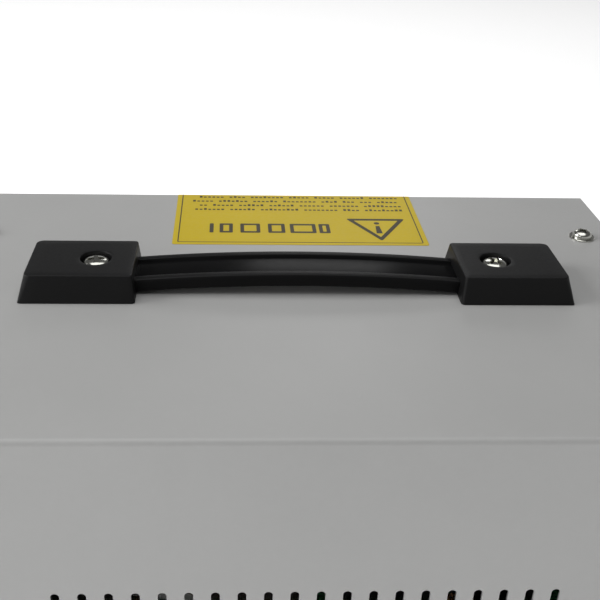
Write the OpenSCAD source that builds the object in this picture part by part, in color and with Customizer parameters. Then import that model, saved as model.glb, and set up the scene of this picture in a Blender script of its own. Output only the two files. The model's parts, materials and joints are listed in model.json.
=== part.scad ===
// Carry-handle power inverter: a folded steel case with a strap handle, a front panel with two
// mains outlets, a display and buttons, and a rear panel with a fan and battery terminals.
// Millimetres. +X is the front panel's side, +Z is up, and z = 0 is the plane that the feet stand on.

/* [Case] */
// Length of the folded cover, from the rear edge to the front panel
case_l = 295; // [246:1:360]
// Width of the case over the cover's side walls
case_w = 198; // [165:1:260]
// Height of the case from its underside to its top
case_h = 135; // [112:1:180]
// Thickness of the cover's sheet
cover_t = 1; // [0.8:0.1:1.5]
// Thickness of the chassis sheet
chassis_t = 1.2; // [1:0.1:2]
// Outside radius of the cover's two folds
bend_r = 2; // [1.6:0.1:5]
// How far the end walls stand in from the cover's edges
end_inset = 0.5; // [0.3:0.1:2]
// Height of the chassis's lips along the sides
lip_h = 17; // [14:1:18]
// Depth of the flanges along the tops of the end walls
flange_l = 24; // [20:1:30]

/* [Side vents] */
// Slots in each row
vent_count = 20; // [8:1:22]
// Distance from slot to slot
vent_pitch = 9; // [6:0.5:10]
// Width of a slot
vent_w = 3; // [2:0.1:4]
// Length of a slot
vent_len = 22; // [14:1:24]
// Rows of slots, one above the other
vent_rows = 2; // [1:1:2]
// Gap between the rows
vent_row_gap = 5; // [4:1:12]
// Height of the lowest slots' ends above the case's underside
vent_up = 22.4; // [20:0.1:30]

/* [Handle] */
// Distance between the handle's two screws
handle_spacing = 160; // [130:1:192]
// Sideways place of the handle from the middle of the top
handle_y = -5.7; // [-20:0.1:20]
// Length of an end cap
cap_l = 45; // [36:1:52]
// Width of an end cap
cap_w = 37.4; // [32:0.1:45]
// Height of an end cap
cap_h = 10.7; // [9:0.1:14]
// Distance from a cap's inner face to its screw
cap_screw_in = 16.5; // [14:0.5:22]
// Taper of a cap's outer face and sides over its height
cap_taper = 2.7; // [1:0.1:4]
// Radius of a cap's upright corners
cap_corner = 3; // [1.5:0.5:5]
// Width of the strap
strap_w = 21.7; // [16:0.1:26]
// Thickness of the strap at its rims
strap_t = 5.4; // [4:0.1:7]
// Height of the strap's underside above the case, at the caps
strap_low = 1; // [0.6:0.1:2]
// Rise of the strap from the caps to its middle
strap_rise = 2.7; // [1:0.1:5]
// Width of each rim along the strap's top
strap_rim = 3.4; // [2:0.1:5]
// Depth of the channel between the rims
strap_channel = 1.2; // [0.5:0.1:2]
// Length of the strap's middle part, which rises as one piece
grip_l = 60; // [40:1:80]

/* [Front panel] */
// Depth of the moulded front panel
bezel_d = 14; // [12:0.5:18]
// Wall thickness of the front panel
bezel_t = 2.5; // [2:0.1:3.5]
// Radius of the front panel's corners
bezel_corner = 3; // [2:0.5:8]
// Width of the display's window
window_w = 84; // [60:1:88]
// Height of the display's window
window_h = 30; // [20:1:32]
// Diameter of a push button
button_d = 11; // [8:0.5:12]
// Distance from button to button
button_pitch = 18; // [16:0.5:19]
// Travel of a push button
button_travel = 1.2; // [0.8:0.1:1.2]
// Side of an outlet's square face plate
outlet_plate = 50; // [48:1:54]
// Bore of an outlet's well
well_d = 40; // [39.5:0.1:41]
// Depth of an outlet's well
well_depth = 17; // [15:0.5:18]
// Distance between an outlet's two contact holes
contact_spacing = 19; // [18.9:0.1:19.1]
// Diameter of an outlet's contact holes
contact_d = 5.2; // [5:0.1:5.6]
// Travel of the power switch's rocker, in degrees
rocker_travel = 18; // [12:1:20]

/* [Rear panel] */
// Side of the square fan
fan_size = 80; // [60:1:96]
// Depth of the fan
fan_d = 25; // [15:1:25]
// Distance from the fan's sides to its screw holes
fan_hole_in = 4.25; // [4:0.05:5]
// Blades on the fan's rotor
fan_blades = 7; // [5:1:9]
// Diameter of the battery terminals' studs
stud_d = 8; // [6:1:10]
// Diameter of a battery terminal's knob
knob_d = 22; // [18:1:24]
// Distance between the battery terminals
terminal_pitch = 30; // [28:1:32]

/* [Inside] */
// Outside diameter of the ring transformer
ring_d = 110; // [90:1:132]
// Height of the ring transformer
ring_h = 50; // [40:1:58]
// Diameter of the ring transformer's hole
ring_hole = 36; // [30:1:44]
// Height of the spacers under the main board
spacer_h = 8; // [6:1:10]
// Height of the heat sinks
sink_h = 52; // [40:1:58]

/* [Feet] */
// Height of the rubber feet
foot_h = 8; // [5:0.5:12]
// Diameter of a foot
foot_d = 22; // [18:1:26]

/* [Hidden] */
$fn = 48;

// Reference planes
top_z = foot_h + case_h;
floor_z = foot_h + chassis_t;
roof_z = top_z - cover_t;
rear_x = -case_l / 2;
front_x = case_l / 2;
rear_wall_x = rear_x + end_inset;
front_wall_x = front_x - end_inset;
side_y = case_w / 2;
inner_y = side_y - cover_t;
vent_drop = case_h - vent_up - vent_rows * vent_len - (vent_rows - 1) * vent_row_gap;

// Screws
m5_r = 2.5;
m4_r = 2;
m3_r = 1.5;
screw_gap = 0.25;
head_m5_r = 5.8;
head_m5_h = 3.6;
head_m4_r = 4.6;
head_m4_h = 2.8;
washer_m4_r = 5.6;
washer_m4_h = 0.8;

// Places of the cover's and the feet's screws
cover_screws_x = [rear_x + 15, front_x - 12];
cover_screw_y = case_w * 0.2576;
side_screw_z = foot_h + lip_h / 2;
side_screws_x = [-case_l * 0.38, 0, case_l * 0.38];
foot_in = 25;

// Handle
hole_x = handle_spacing / 2;
cap_inner_x = hole_x - cap_screw_in;
cap_outer_x = cap_inner_x + cap_l;
recess_r = 6.2;
recess_depth = 3.8;
tongue_w = strap_w - 2;
tongue_t = 2.4;
tongue_gap = 0.3;
strap_gap = 0.3;
flex_l = cap_inner_x - strap_gap - grip_l / 2;

// Front panel
face_x = front_x + bezel_d;
face_back_x = face_x - bezel_t;
window_y = -case_w / 2 + 16 + window_w / 2 + 4;
window_z = top_z - 27;
window_lip = 2;
window_t = 1.5;
module_t = 5.5;
board_t = 1.6;
module_back_x = face_back_x - module_t;
button_gap = 0.3;
button_out = 1.5;
button_y = window_y + window_w / 2 + 16;
button_z = window_z - 3;
led_z = window_z + 14;
led_r = 1.5;
outlet_z = foot_h + 40;
outlets_y = [-case_w / 2 + 38, -case_w / 2 + 94];
outlet_out = 2.5;
well_t = 2;
floor_t = 4;
well_floor_x = face_x + outlet_out - well_depth;
back_d = 14;
earth_up = 10;
earth_r = 2.4;
earth_l = 14;
switch_y = case_w / 2 - 36;
rocker_w = 17;
rocker_half = 11.2;
rocker_proud = 5.4;
rocker_gap = 0.3;
rocker_swing = 1.4;
pivot_r = 1.5;
pivot_gap = 0.06;
pivot_l = 1.3;
pivot_x = face_x - 2;
cheek_t = 1.6;
switch_flange = 1.6;
cavity_w = rocker_w + 2 * rocker_gap;
cavity_h = 2 * (rocker_half + rocker_gap + rocker_swing);
switch_w = cavity_w + 2 * cheek_t;
switch_h = cavity_h + 2;

// Rear panel
fan_y = side_y - 12 - fan_size / 2;
fan_z = foot_h + 20 + fan_size / 2;
fan_holes = fan_size - 2 * fan_hole_in;
fan_bore_r = fan_size / 2 - 2;
hub_r = fan_size * 0.2;
blade_gap = 1;
shaft_r = 1.5;
shaft_gap = 0.05;
guard_wire = 1.6;
guard_out = 4;
guard_rings = 5;
terminal_z = foot_h + 45;
terminals_y = [-side_y + 22 + terminal_pitch, -side_y + 22];
base_t = 4.5;
knob_l = 10;
knob_gap = 0.3;
neck_l = 3.2;
nut_l = 5;
lug_t = 4;
stud_in = neck_l + nut_l + lug_t + nut_l + 1;
lug_x = rear_wall_x + neck_l + nut_l;
// The studs reach as far back as the rocker reaches forward, so x = 0 is the middle of the whole
stud_end_x = -(pivot_x + rocker_proud * cos(rocker_travel / 2) + rocker_half * sin(rocker_travel / 2));
stud_tip = rear_wall_x - base_t - knob_gap - knob_l - stud_end_x;
breaker_y = terminals_y[0];
breaker_z = top_z - 40;
breaker_travel = 3;
earth_y = terminals_y[1];

// Inside
ring_x = front_wall_x - chassis_t - 40 - ring_d / 2;
ring_y = -side_y + 6 + ring_d / 2 + (case_w - 165) / 4;
board_gap = 1.6;
board_x = rear_wall_x + chassis_t + fan_d + 6;
board_l = ring_x - ring_d / 2 - board_gap - board_x;
board_w = case_w - 26;
board_z = floor_z + spacer_h;
board_top = board_z + board_t;
sink_l = board_l - 16;
sink_x = board_x + 8;
sink_y = fan_y * 0.3;
sink_half_gap = 14;
block_l = 10;
block_h = 9;
block_in = 9;
output_y = board_w / 2 - 20;
lead_r = 3;
outlet_lead_r = 2.8;
winding_lead_r = 2;
pad_t = 2;
ring_round = 8;
pad_r = ring_d / 2 - ring_round - 2 * winding_lead_r - 2.5;
ring_z = floor_z + pad_t;
clamp_z = ring_z + ring_h + pad_t;
clamp_t = 2.5;
bolt_nut_h = 6.5;

// Label
label_w = 113.4;
label_on_top = 58;
label_on_side = 12;
label_x = -4.4;
label_t = 0.15;

// ---- Shared shapes ----

// Rectangle with round corners, centred, made of exact arcs
module round_rect(w, h, r) {
    square([w - 2 * r, h], center = true);
    square([w, h - 2 * r], center = true);
    for (x = [-1, 1], y = [-1, 1])
        translate([x * (w / 2 - r), y * (h / 2 - r)]) circle(r);
}

// Extrudes a YZ outline along +X from the given plane
module along_x(x, length) {
    translate([x, 0, 0]) rotate([90, 0, 90]) linear_extrude(height = length) children();
}

// Round bar along +X
module bar_x(x, y, z, r, length) {
    translate([x, y, z]) rotate([0, 90, 0]) cylinder(h = length, r = r);
}

// Pan-head screw pointing down from z = 0, with a cross recess in its head
module pan_screw(shank_r, shank_l, head_r, head_h, washer_r = 0, washer_h = 0) {
    dome_r = (head_r * head_r + head_h * head_h) / (2 * head_h);
    difference() {
        union() {
            translate([0, 0, -shank_l]) cylinder(h = shank_l + 0.2, r = shank_r);
            if (washer_r > 0) cylinder(h = washer_h, r = washer_r);
            translate([0, 0, washer_h]) intersection() {
                translate([0, 0, head_h - dome_r]) sphere(dome_r);
                cylinder(h = head_h, r = head_r);
            }
        }
        for (turn = [0, 90]) rotate([0, 0, turn])
            translate([0, 0, washer_h + head_h]) cube([head_r, 1, head_h], center = true);
    }
}

// Six-sided nut with its bore, standing on z = 0
module nut(bore_r, height, across = 0) {
    flats = across > 0 ? across : bore_r * 3.4;
    difference() {
        cylinder(h = height, r = flats / 2 / cos(30), $fn = 6);
        translate([0, 0, -1]) cylinder(h = height + 2, r = bore_r);
    }
}

// ---- Case ----

module vent_slot() {
    circle(d = vent_w);
    translate([0, -(vent_len - vent_w)]) circle(d = vent_w);
    translate([-vent_w / 2, -(vent_len - vent_w)]) square([vent_w, vent_len - vent_w]);
}

module vent_cutters() {
    first_x = -(vent_count - 1) / 2 * vent_pitch;
    for (row = [0:vent_rows - 1], i = [0:vent_count - 1])
        translate([first_x + i * vent_pitch, side_y + 1,
                   top_z - vent_drop - vent_w / 2 - row * (vent_len + vent_row_gap)])
            rotate([90, 0, 0]) linear_extrude(height = case_w + 2) vent_slot();
}

// Outline of an upside-down U, standing on the case's underside
module cover_outline(w, h, r) {
    translate([-w / 2, 0]) square([w, h - r]);
    translate([-w / 2 + r, h - r - 0.01]) square([w - 2 * r, r + 0.01]);
    for (s = [-1, 1]) translate([s * (w / 2 - r), h - r]) circle(r);
}

module top_cover() {
    color([0.66, 0.66, 0.65]) difference() {
        along_x(rear_x, case_l) translate([0, foot_h]) difference() {
            cover_outline(case_w, case_h, bend_r);
            translate([0, -1])
                cover_outline(case_w - 2 * cover_t, case_h - cover_t + 1, bend_r - cover_t);
        }
        vent_cutters();
        for (s = [-1, 1]) translate([s * hole_x, handle_y, roof_z - 1])
            cylinder(h = cover_t + 2, r = m5_r + screw_gap);
        for (x = cover_screws_x, t = [-1, 1]) translate([x, t * cover_screw_y, roof_z - 1])
            cylinder(h = cover_t + 2, r = m4_r + screw_gap);
        for (x = side_screws_x) translate([x, side_y + 1, side_screw_z])
            rotate([90, 0, 0]) cylinder(h = case_w + 2, r = m4_r + screw_gap);
    }
}

module chassis_sheet() {
    // Floor
    translate([rear_wall_x, -inner_y, foot_h])
        cube([front_wall_x - rear_wall_x, 2 * inner_y, chassis_t]);
    for (s = [-1, 1]) {
        // Lips along the sides, with their ends short of the end walls
        translate([rear_wall_x + 6, s > 0 ? inner_y - chassis_t : -inner_y, foot_h])
            cube([front_wall_x - rear_wall_x - 12, chassis_t, lip_h]);
        // End walls and the flanges along their tops
        translate([s > 0 ? front_wall_x - chassis_t : rear_wall_x, -inner_y, foot_h])
            cube([chassis_t, 2 * inner_y, case_h - cover_t - (bend_r - cover_t)]);
        translate([s > 0 ? front_wall_x - flange_l : rear_wall_x,
                   -inner_y + bend_r, roof_z - chassis_t])
            cube([flange_l, 2 * (inner_y - bend_r), chassis_t]);
    }
}

module chassis() {
    color([0.62, 0.62, 0.61]) difference() {
        chassis_sheet();
        // Screws of the cover and the feet
        for (x = cover_screws_x, t = [-1, 1]) translate([x, t * cover_screw_y, roof_z - 3])
            cylinder(h = 4, r = m4_r);
        for (s = [-1, 1], t = [-1, 1])
            translate([s * (front_x - foot_in), t * (side_y - foot_in), foot_h - 1])
                cylinder(h = chassis_t + 2, r = m4_r);
        for (x = side_screws_x) translate([x, side_y, side_screw_z])
            rotate([90, 0, 0]) cylinder(h = case_w, r = m4_r);
        translate([ring_x, ring_y, foot_h - 1]) cylinder(h = 4, r = stud_d / 2);
        // Fan, battery terminals, breaker and earth screw, in the rear wall
        bar_x(rear_x - 1, fan_y, fan_z, fan_bore_r, 6);
        for (s = [-1, 1], t = [-1, 1])
            bar_x(rear_x - 1, fan_y + s * fan_holes / 2, fan_z + t * fan_holes / 2, m4_r + 0.2, 6);
        for (y = terminals_y) bar_x(rear_x - 1, y, terminal_z, 7, 6);
        bar_x(rear_x - 1, breaker_y, breaker_z, 5, 6);
        bar_x(rear_x - 1, earth_y, breaker_z, m5_r, 6);
        // Outlets, power switch and the control board's ribbon, in the front wall
        for (y = outlets_y) bar_x(front_x - 5, y, outlet_z, well_d / 2 + well_t + 0.5, 8);
        along_x(front_x - 5, 8) translate([switch_y, outlet_z])
            square([switch_w + 0.2, switch_h + 0.2], center = true);
        along_x(front_x - 5, 8) translate([window_y, window_z - 12]) square([30, 6], center = true);
    }
}

module rubber_feet() {
    color([0.08, 0.08, 0.08])
        for (s = [-1, 1], t = [-1, 1]) translate([s * (front_x - foot_in), t * (side_y - foot_in), 0])
            difference() {
                cylinder(h = foot_h, r1 = foot_d / 2 - 1.5, r2 = foot_d / 2);
                translate([0, 0, -1]) cylinder(h = foot_h / 2 + 1, r = head_m4_r + 0.8);
                translate([0, 0, -1]) cylinder(h = foot_h + 2, r = m4_r + screw_gap);
            }
}

module feet_screws() {
    color([0.75, 0.75, 0.77])
        for (s = [-1, 1], t = [-1, 1])
            translate([s * (front_x - foot_in), t * (side_y - foot_in), foot_h / 2])
                rotate([180, 0, 0]) pan_screw(m4_r, foot_h / 2 + chassis_t + 2, head_m4_r, head_m4_h);
}

module cover_screws_top() {
    color([0.75, 0.75, 0.77])
        for (x = cover_screws_x, t = [-1, 1]) translate([x, t * cover_screw_y, top_z])
            pan_screw(m4_r, 8, head_m4_r, head_m4_h, washer_m4_r, washer_m4_h);
}

module cover_screws_side() {
    color([0.75, 0.75, 0.77])
        for (s = [-1, 1], x = side_screws_x) translate([x, s * side_y, side_screw_z])
            rotate([-s * 90, 0, 0]) pan_screw(m4_r, 6, head_m4_r, head_m4_h);
}

// Thin label on the top, whose lower edge folds over onto the side
module warning_label() {
    fold_r = bend_r + label_t;
    color([0.86, 0.72, 0.1])
        along_x(label_x - label_w / 2, label_w) translate([0, top_z]) {
            translate([-side_y + bend_r, 0]) square([label_on_top - bend_r, label_t]);
            translate([-side_y - label_t, -bend_r - label_on_side]) square([label_t, label_on_side]);
            translate([-side_y + bend_r, -bend_r]) intersection() {
                difference() {
                    circle(fold_r);
                    circle(bend_r);
                }
                translate([-fold_r - 1, 0]) square(fold_r + 1);
            }
        }
}

// ---- Handle ----

// Solid body of an end cap, from its inner face at x = 0 to its outer face at x = cap_l
module cap_body() {
    inner_taper = 1;
    slab = 0.5;
    hull() {
        translate([cap_l / 2, 0, 0]) linear_extrude(height = slab)
            round_rect(cap_l, cap_w, cap_corner, $fn = 32);
        translate([(cap_l + inner_taper - cap_taper) / 2, 0, cap_h - slab]) linear_extrude(height = slab)
            round_rect(cap_l - inner_taper - cap_taper, cap_w - 2 * cap_taper, cap_corner - 0.5, $fn = 32);
    }
}

module handle_cap() {
    mouth_h = strap_low + strap_t + 0.6;
    color([0.07, 0.07, 0.07]) difference() {
        cap_body();
        // Pocket that the strap's tongue slides in, open at the inner face
        translate([-1, -tongue_w / 2 - tongue_gap, -1])
            cube([cap_l - 6, tongue_w + 2 * tongue_gap, strap_low + tongue_t + tongue_gap + 1]);
        // Mouth for the strap's full section
        translate([-1, -strap_w / 2 - tongue_gap, -1])
            cube([3, strap_w + 2 * tongue_gap, mouth_h + 1]);
        translate([cap_screw_in, 0, -1]) cylinder(h = cap_h + 2, r = m5_r + screw_gap);
        translate([cap_screw_in, 0, cap_h - recess_depth]) cylinder(h = cap_h, r = recess_r);
    }
}

module handle_cap_front() {
    translate([cap_inner_x, handle_y, top_z]) handle_cap();
}

module handle_cap_rear() {
    translate([-cap_inner_x, handle_y, top_z]) mirror([1, 0, 0]) handle_cap();
}

// Height of the strap's underside above the case, at x from its middle
function strap_rise_at(x) =
    let (t = min(abs(x) / cap_inner_x, 1)) strap_low + strap_rise * (1 - t * t);

// Strap between two places along its length: an arched bar with a channel along its top
module strap_piece(x1, x2, steps) {
    xs = [for (i = [0:steps]) x1 + (x2 - x1) * i / steps];
    reach = strap_w / 2;
    module side_view(cut) {
        polygon(concat(
            [for (x = xs) [x, strap_rise_at(x)]],
            [for (i = [steps:-1:0]) [xs[i], strap_rise_at(xs[i]) + strap_t - cut]]));
    }
    translate([0, handle_y, top_z]) rotate([90, 0, 0]) {
        translate([0, 0, -reach + strap_rim]) linear_extrude(height = strap_w - 2 * strap_rim)
            side_view(strap_channel);
        for (z = [-reach, reach - strap_rim]) translate([0, 0, z])
            linear_extrude(height = strap_rim) side_view(0);
    }
}

module handle_grip() {
    color([0.06, 0.06, 0.06]) strap_piece(-grip_l / 2, grip_l / 2, 12);
}

// Flexible end of the strap: its full section, then the flat tongue with a long hole for the screw
module handle_flex(side) {
    from_x = side * grip_l / 2;
    to_x = side * (cap_inner_x - strap_gap);
    tongue_l = cap_l - 12;
    color([0.06, 0.06, 0.06]) {
        strap_piece(min(from_x, to_x), max(from_x, to_x), 8);
        difference() {
            translate([side > 0 ? to_x - 1 : to_x + 1 - tongue_l, handle_y - tongue_w / 2, top_z + strap_low])
                cube([tongue_l, tongue_w, tongue_t]);
            for (dx = [-4, 0, 4]) translate([side * (hole_x + dx), handle_y, top_z])
                cylinder(h = 8, r = m5_r + 0.7);
            translate([side * hole_x - 4, handle_y - m5_r - 0.7, top_z])
                cube([8, 2 * m5_r + 1.4, 8]);
        }
    }
}

module handle_screws() {
    color([0.78, 0.78, 0.8])
        for (s = [-1, 1]) translate([s * hole_x, handle_y, top_z + cap_h - recess_depth])
            pan_screw(m5_r, cap_h - recess_depth + cover_t + 7, head_m5_r, head_m5_h);
}

module handle_nuts() {
    color([0.7, 0.7, 0.72])
        for (s = [-1, 1]) translate([s * hole_x, handle_y, 0]) {
            translate([0, 0, roof_z - 1]) difference() {
                cylinder(h = 1, r = 6);
                translate([0, 0, -1]) cylinder(h = 3, r = m5_r);
            }
            translate([0, 0, roof_z - 5.5]) nut(m5_r, 4.5, 8);
        }
}

// ---- Front panel ----

module front_bezel() {
    chamfer = 2;
    color([0.08, 0.08, 0.085]) difference() {
        union() {
            difference() {
                hull() {
                    along_x(front_x, bezel_d - chamfer) translate([0, foot_h + case_h / 2])
                        round_rect(case_w, case_h, bezel_corner, $fn = 32);
                    along_x(front_x, bezel_d) translate([0, foot_h + case_h / 2])
                        round_rect(case_w - 2 * chamfer, case_h - 2 * chamfer, bezel_corner - 1, $fn = 32);
                }
                along_x(front_x - 1, bezel_d - bezel_t + 1) translate([0, foot_h + case_h / 2])
                    square([case_w - 2 * bezel_t - 2, case_h - 2 * bezel_t - 2], center = true);
            }
            // Pegs that reach the front wall
            for (s = [-1, 1], t = [-1, 1])
                bar_x(front_wall_x, s * (side_y - 10), foot_h + case_h / 2 + t * (case_h / 2 - 9), 4,
                      face_back_x - front_wall_x + 0.5);
        }
        // Window: a step for the pane, and the opening behind it
        along_x(face_x - window_t, 5) translate([window_y, window_z])
            square([window_w + 2 * window_lip, window_h + 2 * window_lip], center = true);
        along_x(face_x - 5, 10) translate([window_y, window_z]) square([window_w, window_h], center = true);
        for (i = [0:2]) {
            bar_x(face_x - 5, button_y + i * button_pitch, button_z, button_d / 2 + button_gap, 10);
            bar_x(face_x - 5, button_y + i * button_pitch, led_z, led_r + 0.1, 10);
        }
        for (y = outlets_y) along_x(face_x - 5, 10) translate([y, outlet_z])
            square(well_d + 2 * well_t + 1, center = true);
        along_x(face_x - 5, 10) translate([switch_y, outlet_z])
            square([switch_w + 0.6, switch_h + 0.6], center = true);
    }
}

module display_window() {
    edge_gap = 0.1;
    color([0.1, 0.13, 0.16, 0.6])
        along_x(face_x - window_t, window_t) translate([window_y, window_z])
            square([window_w + 2 * (window_lip - edge_gap), window_h + 2 * (window_lip - edge_gap)],
                   center = true);
}

module display_module() {
    bezel_in = 5;
    color([0.2, 0.35, 0.3]) difference() {
        along_x(module_back_x, module_t) translate([window_y, window_z])
            square([window_w + 6, window_h + 6], center = true);
        along_x(face_back_x - 1, 3) translate([window_y, window_z])
            square([window_w - bezel_in, window_h - bezel_in], center = true);
    }
}

module control_board() {
    board_y1 = window_y - window_w / 2 - 4;
    board_y2 = button_y + 2 * button_pitch + 8;
    color([0.1, 0.35, 0.15]) {
        along_x(module_back_x - board_t, board_t)
            translate([board_y1, window_z - window_h / 2 - 4]) square([board_y2 - board_y1, window_h + 8]);
        // Key switches behind the buttons
        for (i = [0:2]) along_x(module_back_x - 0.01, 2.8)
            translate([button_y + i * button_pitch, button_z]) square(6, center = true);
    }
}

module indicator_leds() {
    color([0.3, 0.9, 0.4])
        for (i = [0:2])
            bar_x(module_back_x, button_y + i * button_pitch, led_z, led_r, face_x - module_back_x + 0.6);
}

// Push button: a cap in the panel's hole and a flange behind the panel
module button(i) {
    y = button_y + i * button_pitch;
    color([0.16, 0.16, 0.17]) {
        bar_x(face_back_x - 0.1, y, button_z, button_d / 2, bezel_t + button_out + 0.1);
        bar_x(face_back_x - 1.3, y, button_z, button_d / 2 + 1.5, 1.2);
    }
}

module outlet_shell(y) {
    color([0.09, 0.09, 0.09]) difference() {
        union() {
            along_x(face_x, outlet_out) translate([y, outlet_z]) round_rect(outlet_plate, outlet_plate, 4);
            bar_x(well_floor_x, y, outlet_z, well_d / 2 + well_t, well_depth - 0.5);
        }
        bar_x(well_floor_x - 1, y, outlet_z, well_d / 2, well_depth + 5);
    }
}

module outlet_floors() {
    color([0.12, 0.12, 0.12]) for (y = outlets_y) difference() {
        bar_x(well_floor_x - floor_t, y, outlet_z, well_d / 2 + well_t, floor_t);
        for (s = [-1, 1])
            bar_x(well_floor_x - floor_t - 1, y + s * contact_spacing / 2, outlet_z,
                  contact_d / 2, floor_t + 2);
        bar_x(well_floor_x - floor_t - 1, y, outlet_z + earth_up, earth_r, floor_t + 2);
    }
}

module outlet_backs() {
    color([0.2, 0.2, 0.2]) for (y = outlets_y) difference() {
        along_x(well_floor_x - floor_t - back_d, back_d) translate([y, outlet_z])
            round_rect(38, 38, 3);
        for (s = [-1, 1])
            bar_x(well_floor_x - floor_t - back_d + 2, y + s * contact_spacing / 2, outlet_z, 3.6, back_d);
        bar_x(well_floor_x - floor_t - 6, y, outlet_z + earth_up, earth_r, 10);
    }
}

module outlet_contacts() {
    color([0.8, 0.65, 0.3]) for (y = outlets_y, s = [-1, 1]) difference() {
        bar_x(well_floor_x - floor_t - back_d + 2, y + s * contact_spacing / 2, outlet_z, 3.6, back_d - 2);
        bar_x(well_floor_x - floor_t - back_d + 4, y + s * contact_spacing / 2, outlet_z, 2.5, back_d);
    }
}

module outlet_earth_pins() {
    tip = 1;
    color([0.8, 0.65, 0.3]) for (y = outlets_y) {
        bar_x(well_floor_x - floor_t - 6, y, outlet_z + earth_up, earth_r, floor_t + 6 + earth_l - tip);
        translate([well_floor_x + earth_l - tip, y, outlet_z + earth_up]) rotate([0, 90, 0])
            cylinder(h = tip, r1 = earth_r, r2 = earth_r - 0.8);
    }
}

module switch_frame() {
    body_l = 20;
    flange_t = 2;
    color([0.07, 0.07, 0.07]) difference() {
        union() {
            along_x(face_x, flange_t) translate([switch_y, outlet_z])
                round_rect(switch_w + 2 * switch_flange, switch_h + 2 * switch_flange, 1.5);
            along_x(face_x - body_l, body_l + 0.5) translate([switch_y, outlet_z])
                square([switch_w, switch_h], center = true);
        }
        along_x(face_x - body_l + 3, body_l + 3) translate([switch_y, outlet_z])
            square([cavity_w, cavity_h], center = true);
        translate([pivot_x, switch_y - rocker_w / 2 - pivot_l - rocker_gap, outlet_z])
            rotate([-90, 0, 0])
                cylinder(h = rocker_w + 2 * (pivot_l + rocker_gap), r = pivot_r + pivot_gap);
    }
}

module switch_rocker() {
    dip = 2;
    toe = 4.4;
    color([0.7, 0.08, 0.06]) translate([pivot_x, switch_y, outlet_z]) {
        rotate([90, rocker_travel / 2, 0]) translate([0, 0, -rocker_w / 2])
            linear_extrude(height = rocker_w) polygon([
                [rocker_proud, rocker_half], [rocker_proud - dip, 0], [rocker_proud, -rocker_half],
                [rocker_proud - toe, -rocker_half], [-6, -4], [-6, 4], [rocker_proud - toe, rocker_half]
            ]);
        rotate([90, 0, 0]) cylinder(h = rocker_w + 2 * pivot_l, r = pivot_r, center = true);
    }
}

// ---- Rear panel ----

module fan_frame() {
    fan_front = rear_wall_x + chassis_t;
    seat_t = 2.5;
    strut_t = 1.9;
    color([0.06, 0.06, 0.06]) difference() {
        union() {
            difference() {
                along_x(fan_front, fan_d) translate([fan_y, fan_z]) round_rect(fan_size, fan_size, 3);
                bar_x(fan_front - 1, fan_y, fan_z, fan_bore_r, fan_d + 2);
                // The corners are open between the two flanges
                for (a = [0:90:270]) translate([fan_front + 4, fan_y, fan_z]) rotate([a, 0, 0])
                    translate([0, fan_size / 2 - 8, fan_size / 2 - 8]) cube([fan_d - 8, 9, 9]);
            }
            // Struts, the motor's seat and its bearing post, on the inner side
            for (a = [45:90:315]) translate([fan_front + fan_d - strut_t - 0.3, fan_y, fan_z])
                rotate([a, 0, 0]) translate([0, -2, 0]) cube([strut_t, 4, fan_bore_r + 1]);
            bar_x(fan_front + fan_d - seat_t, fan_y, fan_z, hub_r, seat_t);
            bar_x(fan_front + fan_d - 9, fan_y, fan_z, 4, 9 - seat_t + 0.5);
        }
        bar_x(fan_front + fan_d - 10, fan_y, fan_z, shaft_r + shaft_gap, 9);
        for (s = [-1, 1], t = [-1, 1])
            bar_x(fan_front - 1, fan_y + s * fan_holes / 2, fan_z + t * fan_holes / 2, m4_r, fan_d + 2);
    }
}

module fan_rotor() {
    hub_l = fan_d - 7;
    hub_x = rear_wall_x + chassis_t + 3;
    blade_t = 1.8;
    color([0.05, 0.05, 0.05]) {
        difference() {
            bar_x(hub_x, fan_y, fan_z, hub_r, hub_l);
            bar_x(hub_x + 2, fan_y, fan_z, hub_r - 2, hub_l);
        }
        bar_x(hub_x + 1, fan_y, fan_z, shaft_r, hub_l);
        for (i = [0:fan_blades - 1]) intersection() {
            difference() {
                bar_x(hub_x, fan_y, fan_z, fan_bore_r - blade_gap, hub_l);
                bar_x(hub_x - 1, fan_y, fan_z, hub_r - 0.5, hub_l + 2);
            }
            translate([hub_x + hub_l / 2, fan_y, fan_z]) rotate([i * 360 / fan_blades, 0, 0])
                rotate([0, 0, 48]) translate([0, 0, fan_bore_r / 2])
                    cube([hub_l * 2, blade_t, fan_bore_r], center = true);
        }
    }
}

module fan_guard() {
    plane_x = rear_wall_x - guard_out;
    step = (fan_bore_r - 6) / guard_rings;
    eye_r = 4.2;
    color([0.75, 0.75, 0.77]) difference() {
        union() {
            for (i = [1:guard_rings + 1]) translate([plane_x, fan_y, fan_z]) rotate([0, 90, 0])
                difference() {
                    cylinder(h = guard_wire, r = 4 + i * step);
                    translate([0, 0, -1]) cylinder(h = guard_wire + 2, r = 4 + i * step - guard_wire);
                }
            for (a = [45:90:315]) translate([plane_x + guard_wire - 0.4, fan_y, fan_z]) rotate([a, 0, 0])
                translate([0, -guard_wire / 2, 6]) cube([guard_wire, guard_wire, fan_holes * 0.7071 - 6]);
            for (s = [-1, 1], t = [-1, 1])
                bar_x(plane_x + guard_wire - 0.4, fan_y + s * fan_holes / 2, fan_z + t * fan_holes / 2,
                      eye_r, guard_out - guard_wire + 0.4);
        }
        for (s = [-1, 1], t = [-1, 1])
            bar_x(plane_x - 1, fan_y + s * fan_holes / 2, fan_z + t * fan_holes / 2, m4_r + 0.1, 8);
    }
}

module fan_screws() {
    head_x = rear_wall_x - guard_out + guard_wire - 0.4;
    color([0.78, 0.78, 0.8])
        for (s = [-1, 1], t = [-1, 1])
            translate([head_x, fan_y + s * fan_holes / 2, fan_z + t * fan_holes / 2])
                rotate([0, -90, 0]) pan_screw(m4_r, 12, 3.8, 2.6);
}

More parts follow.
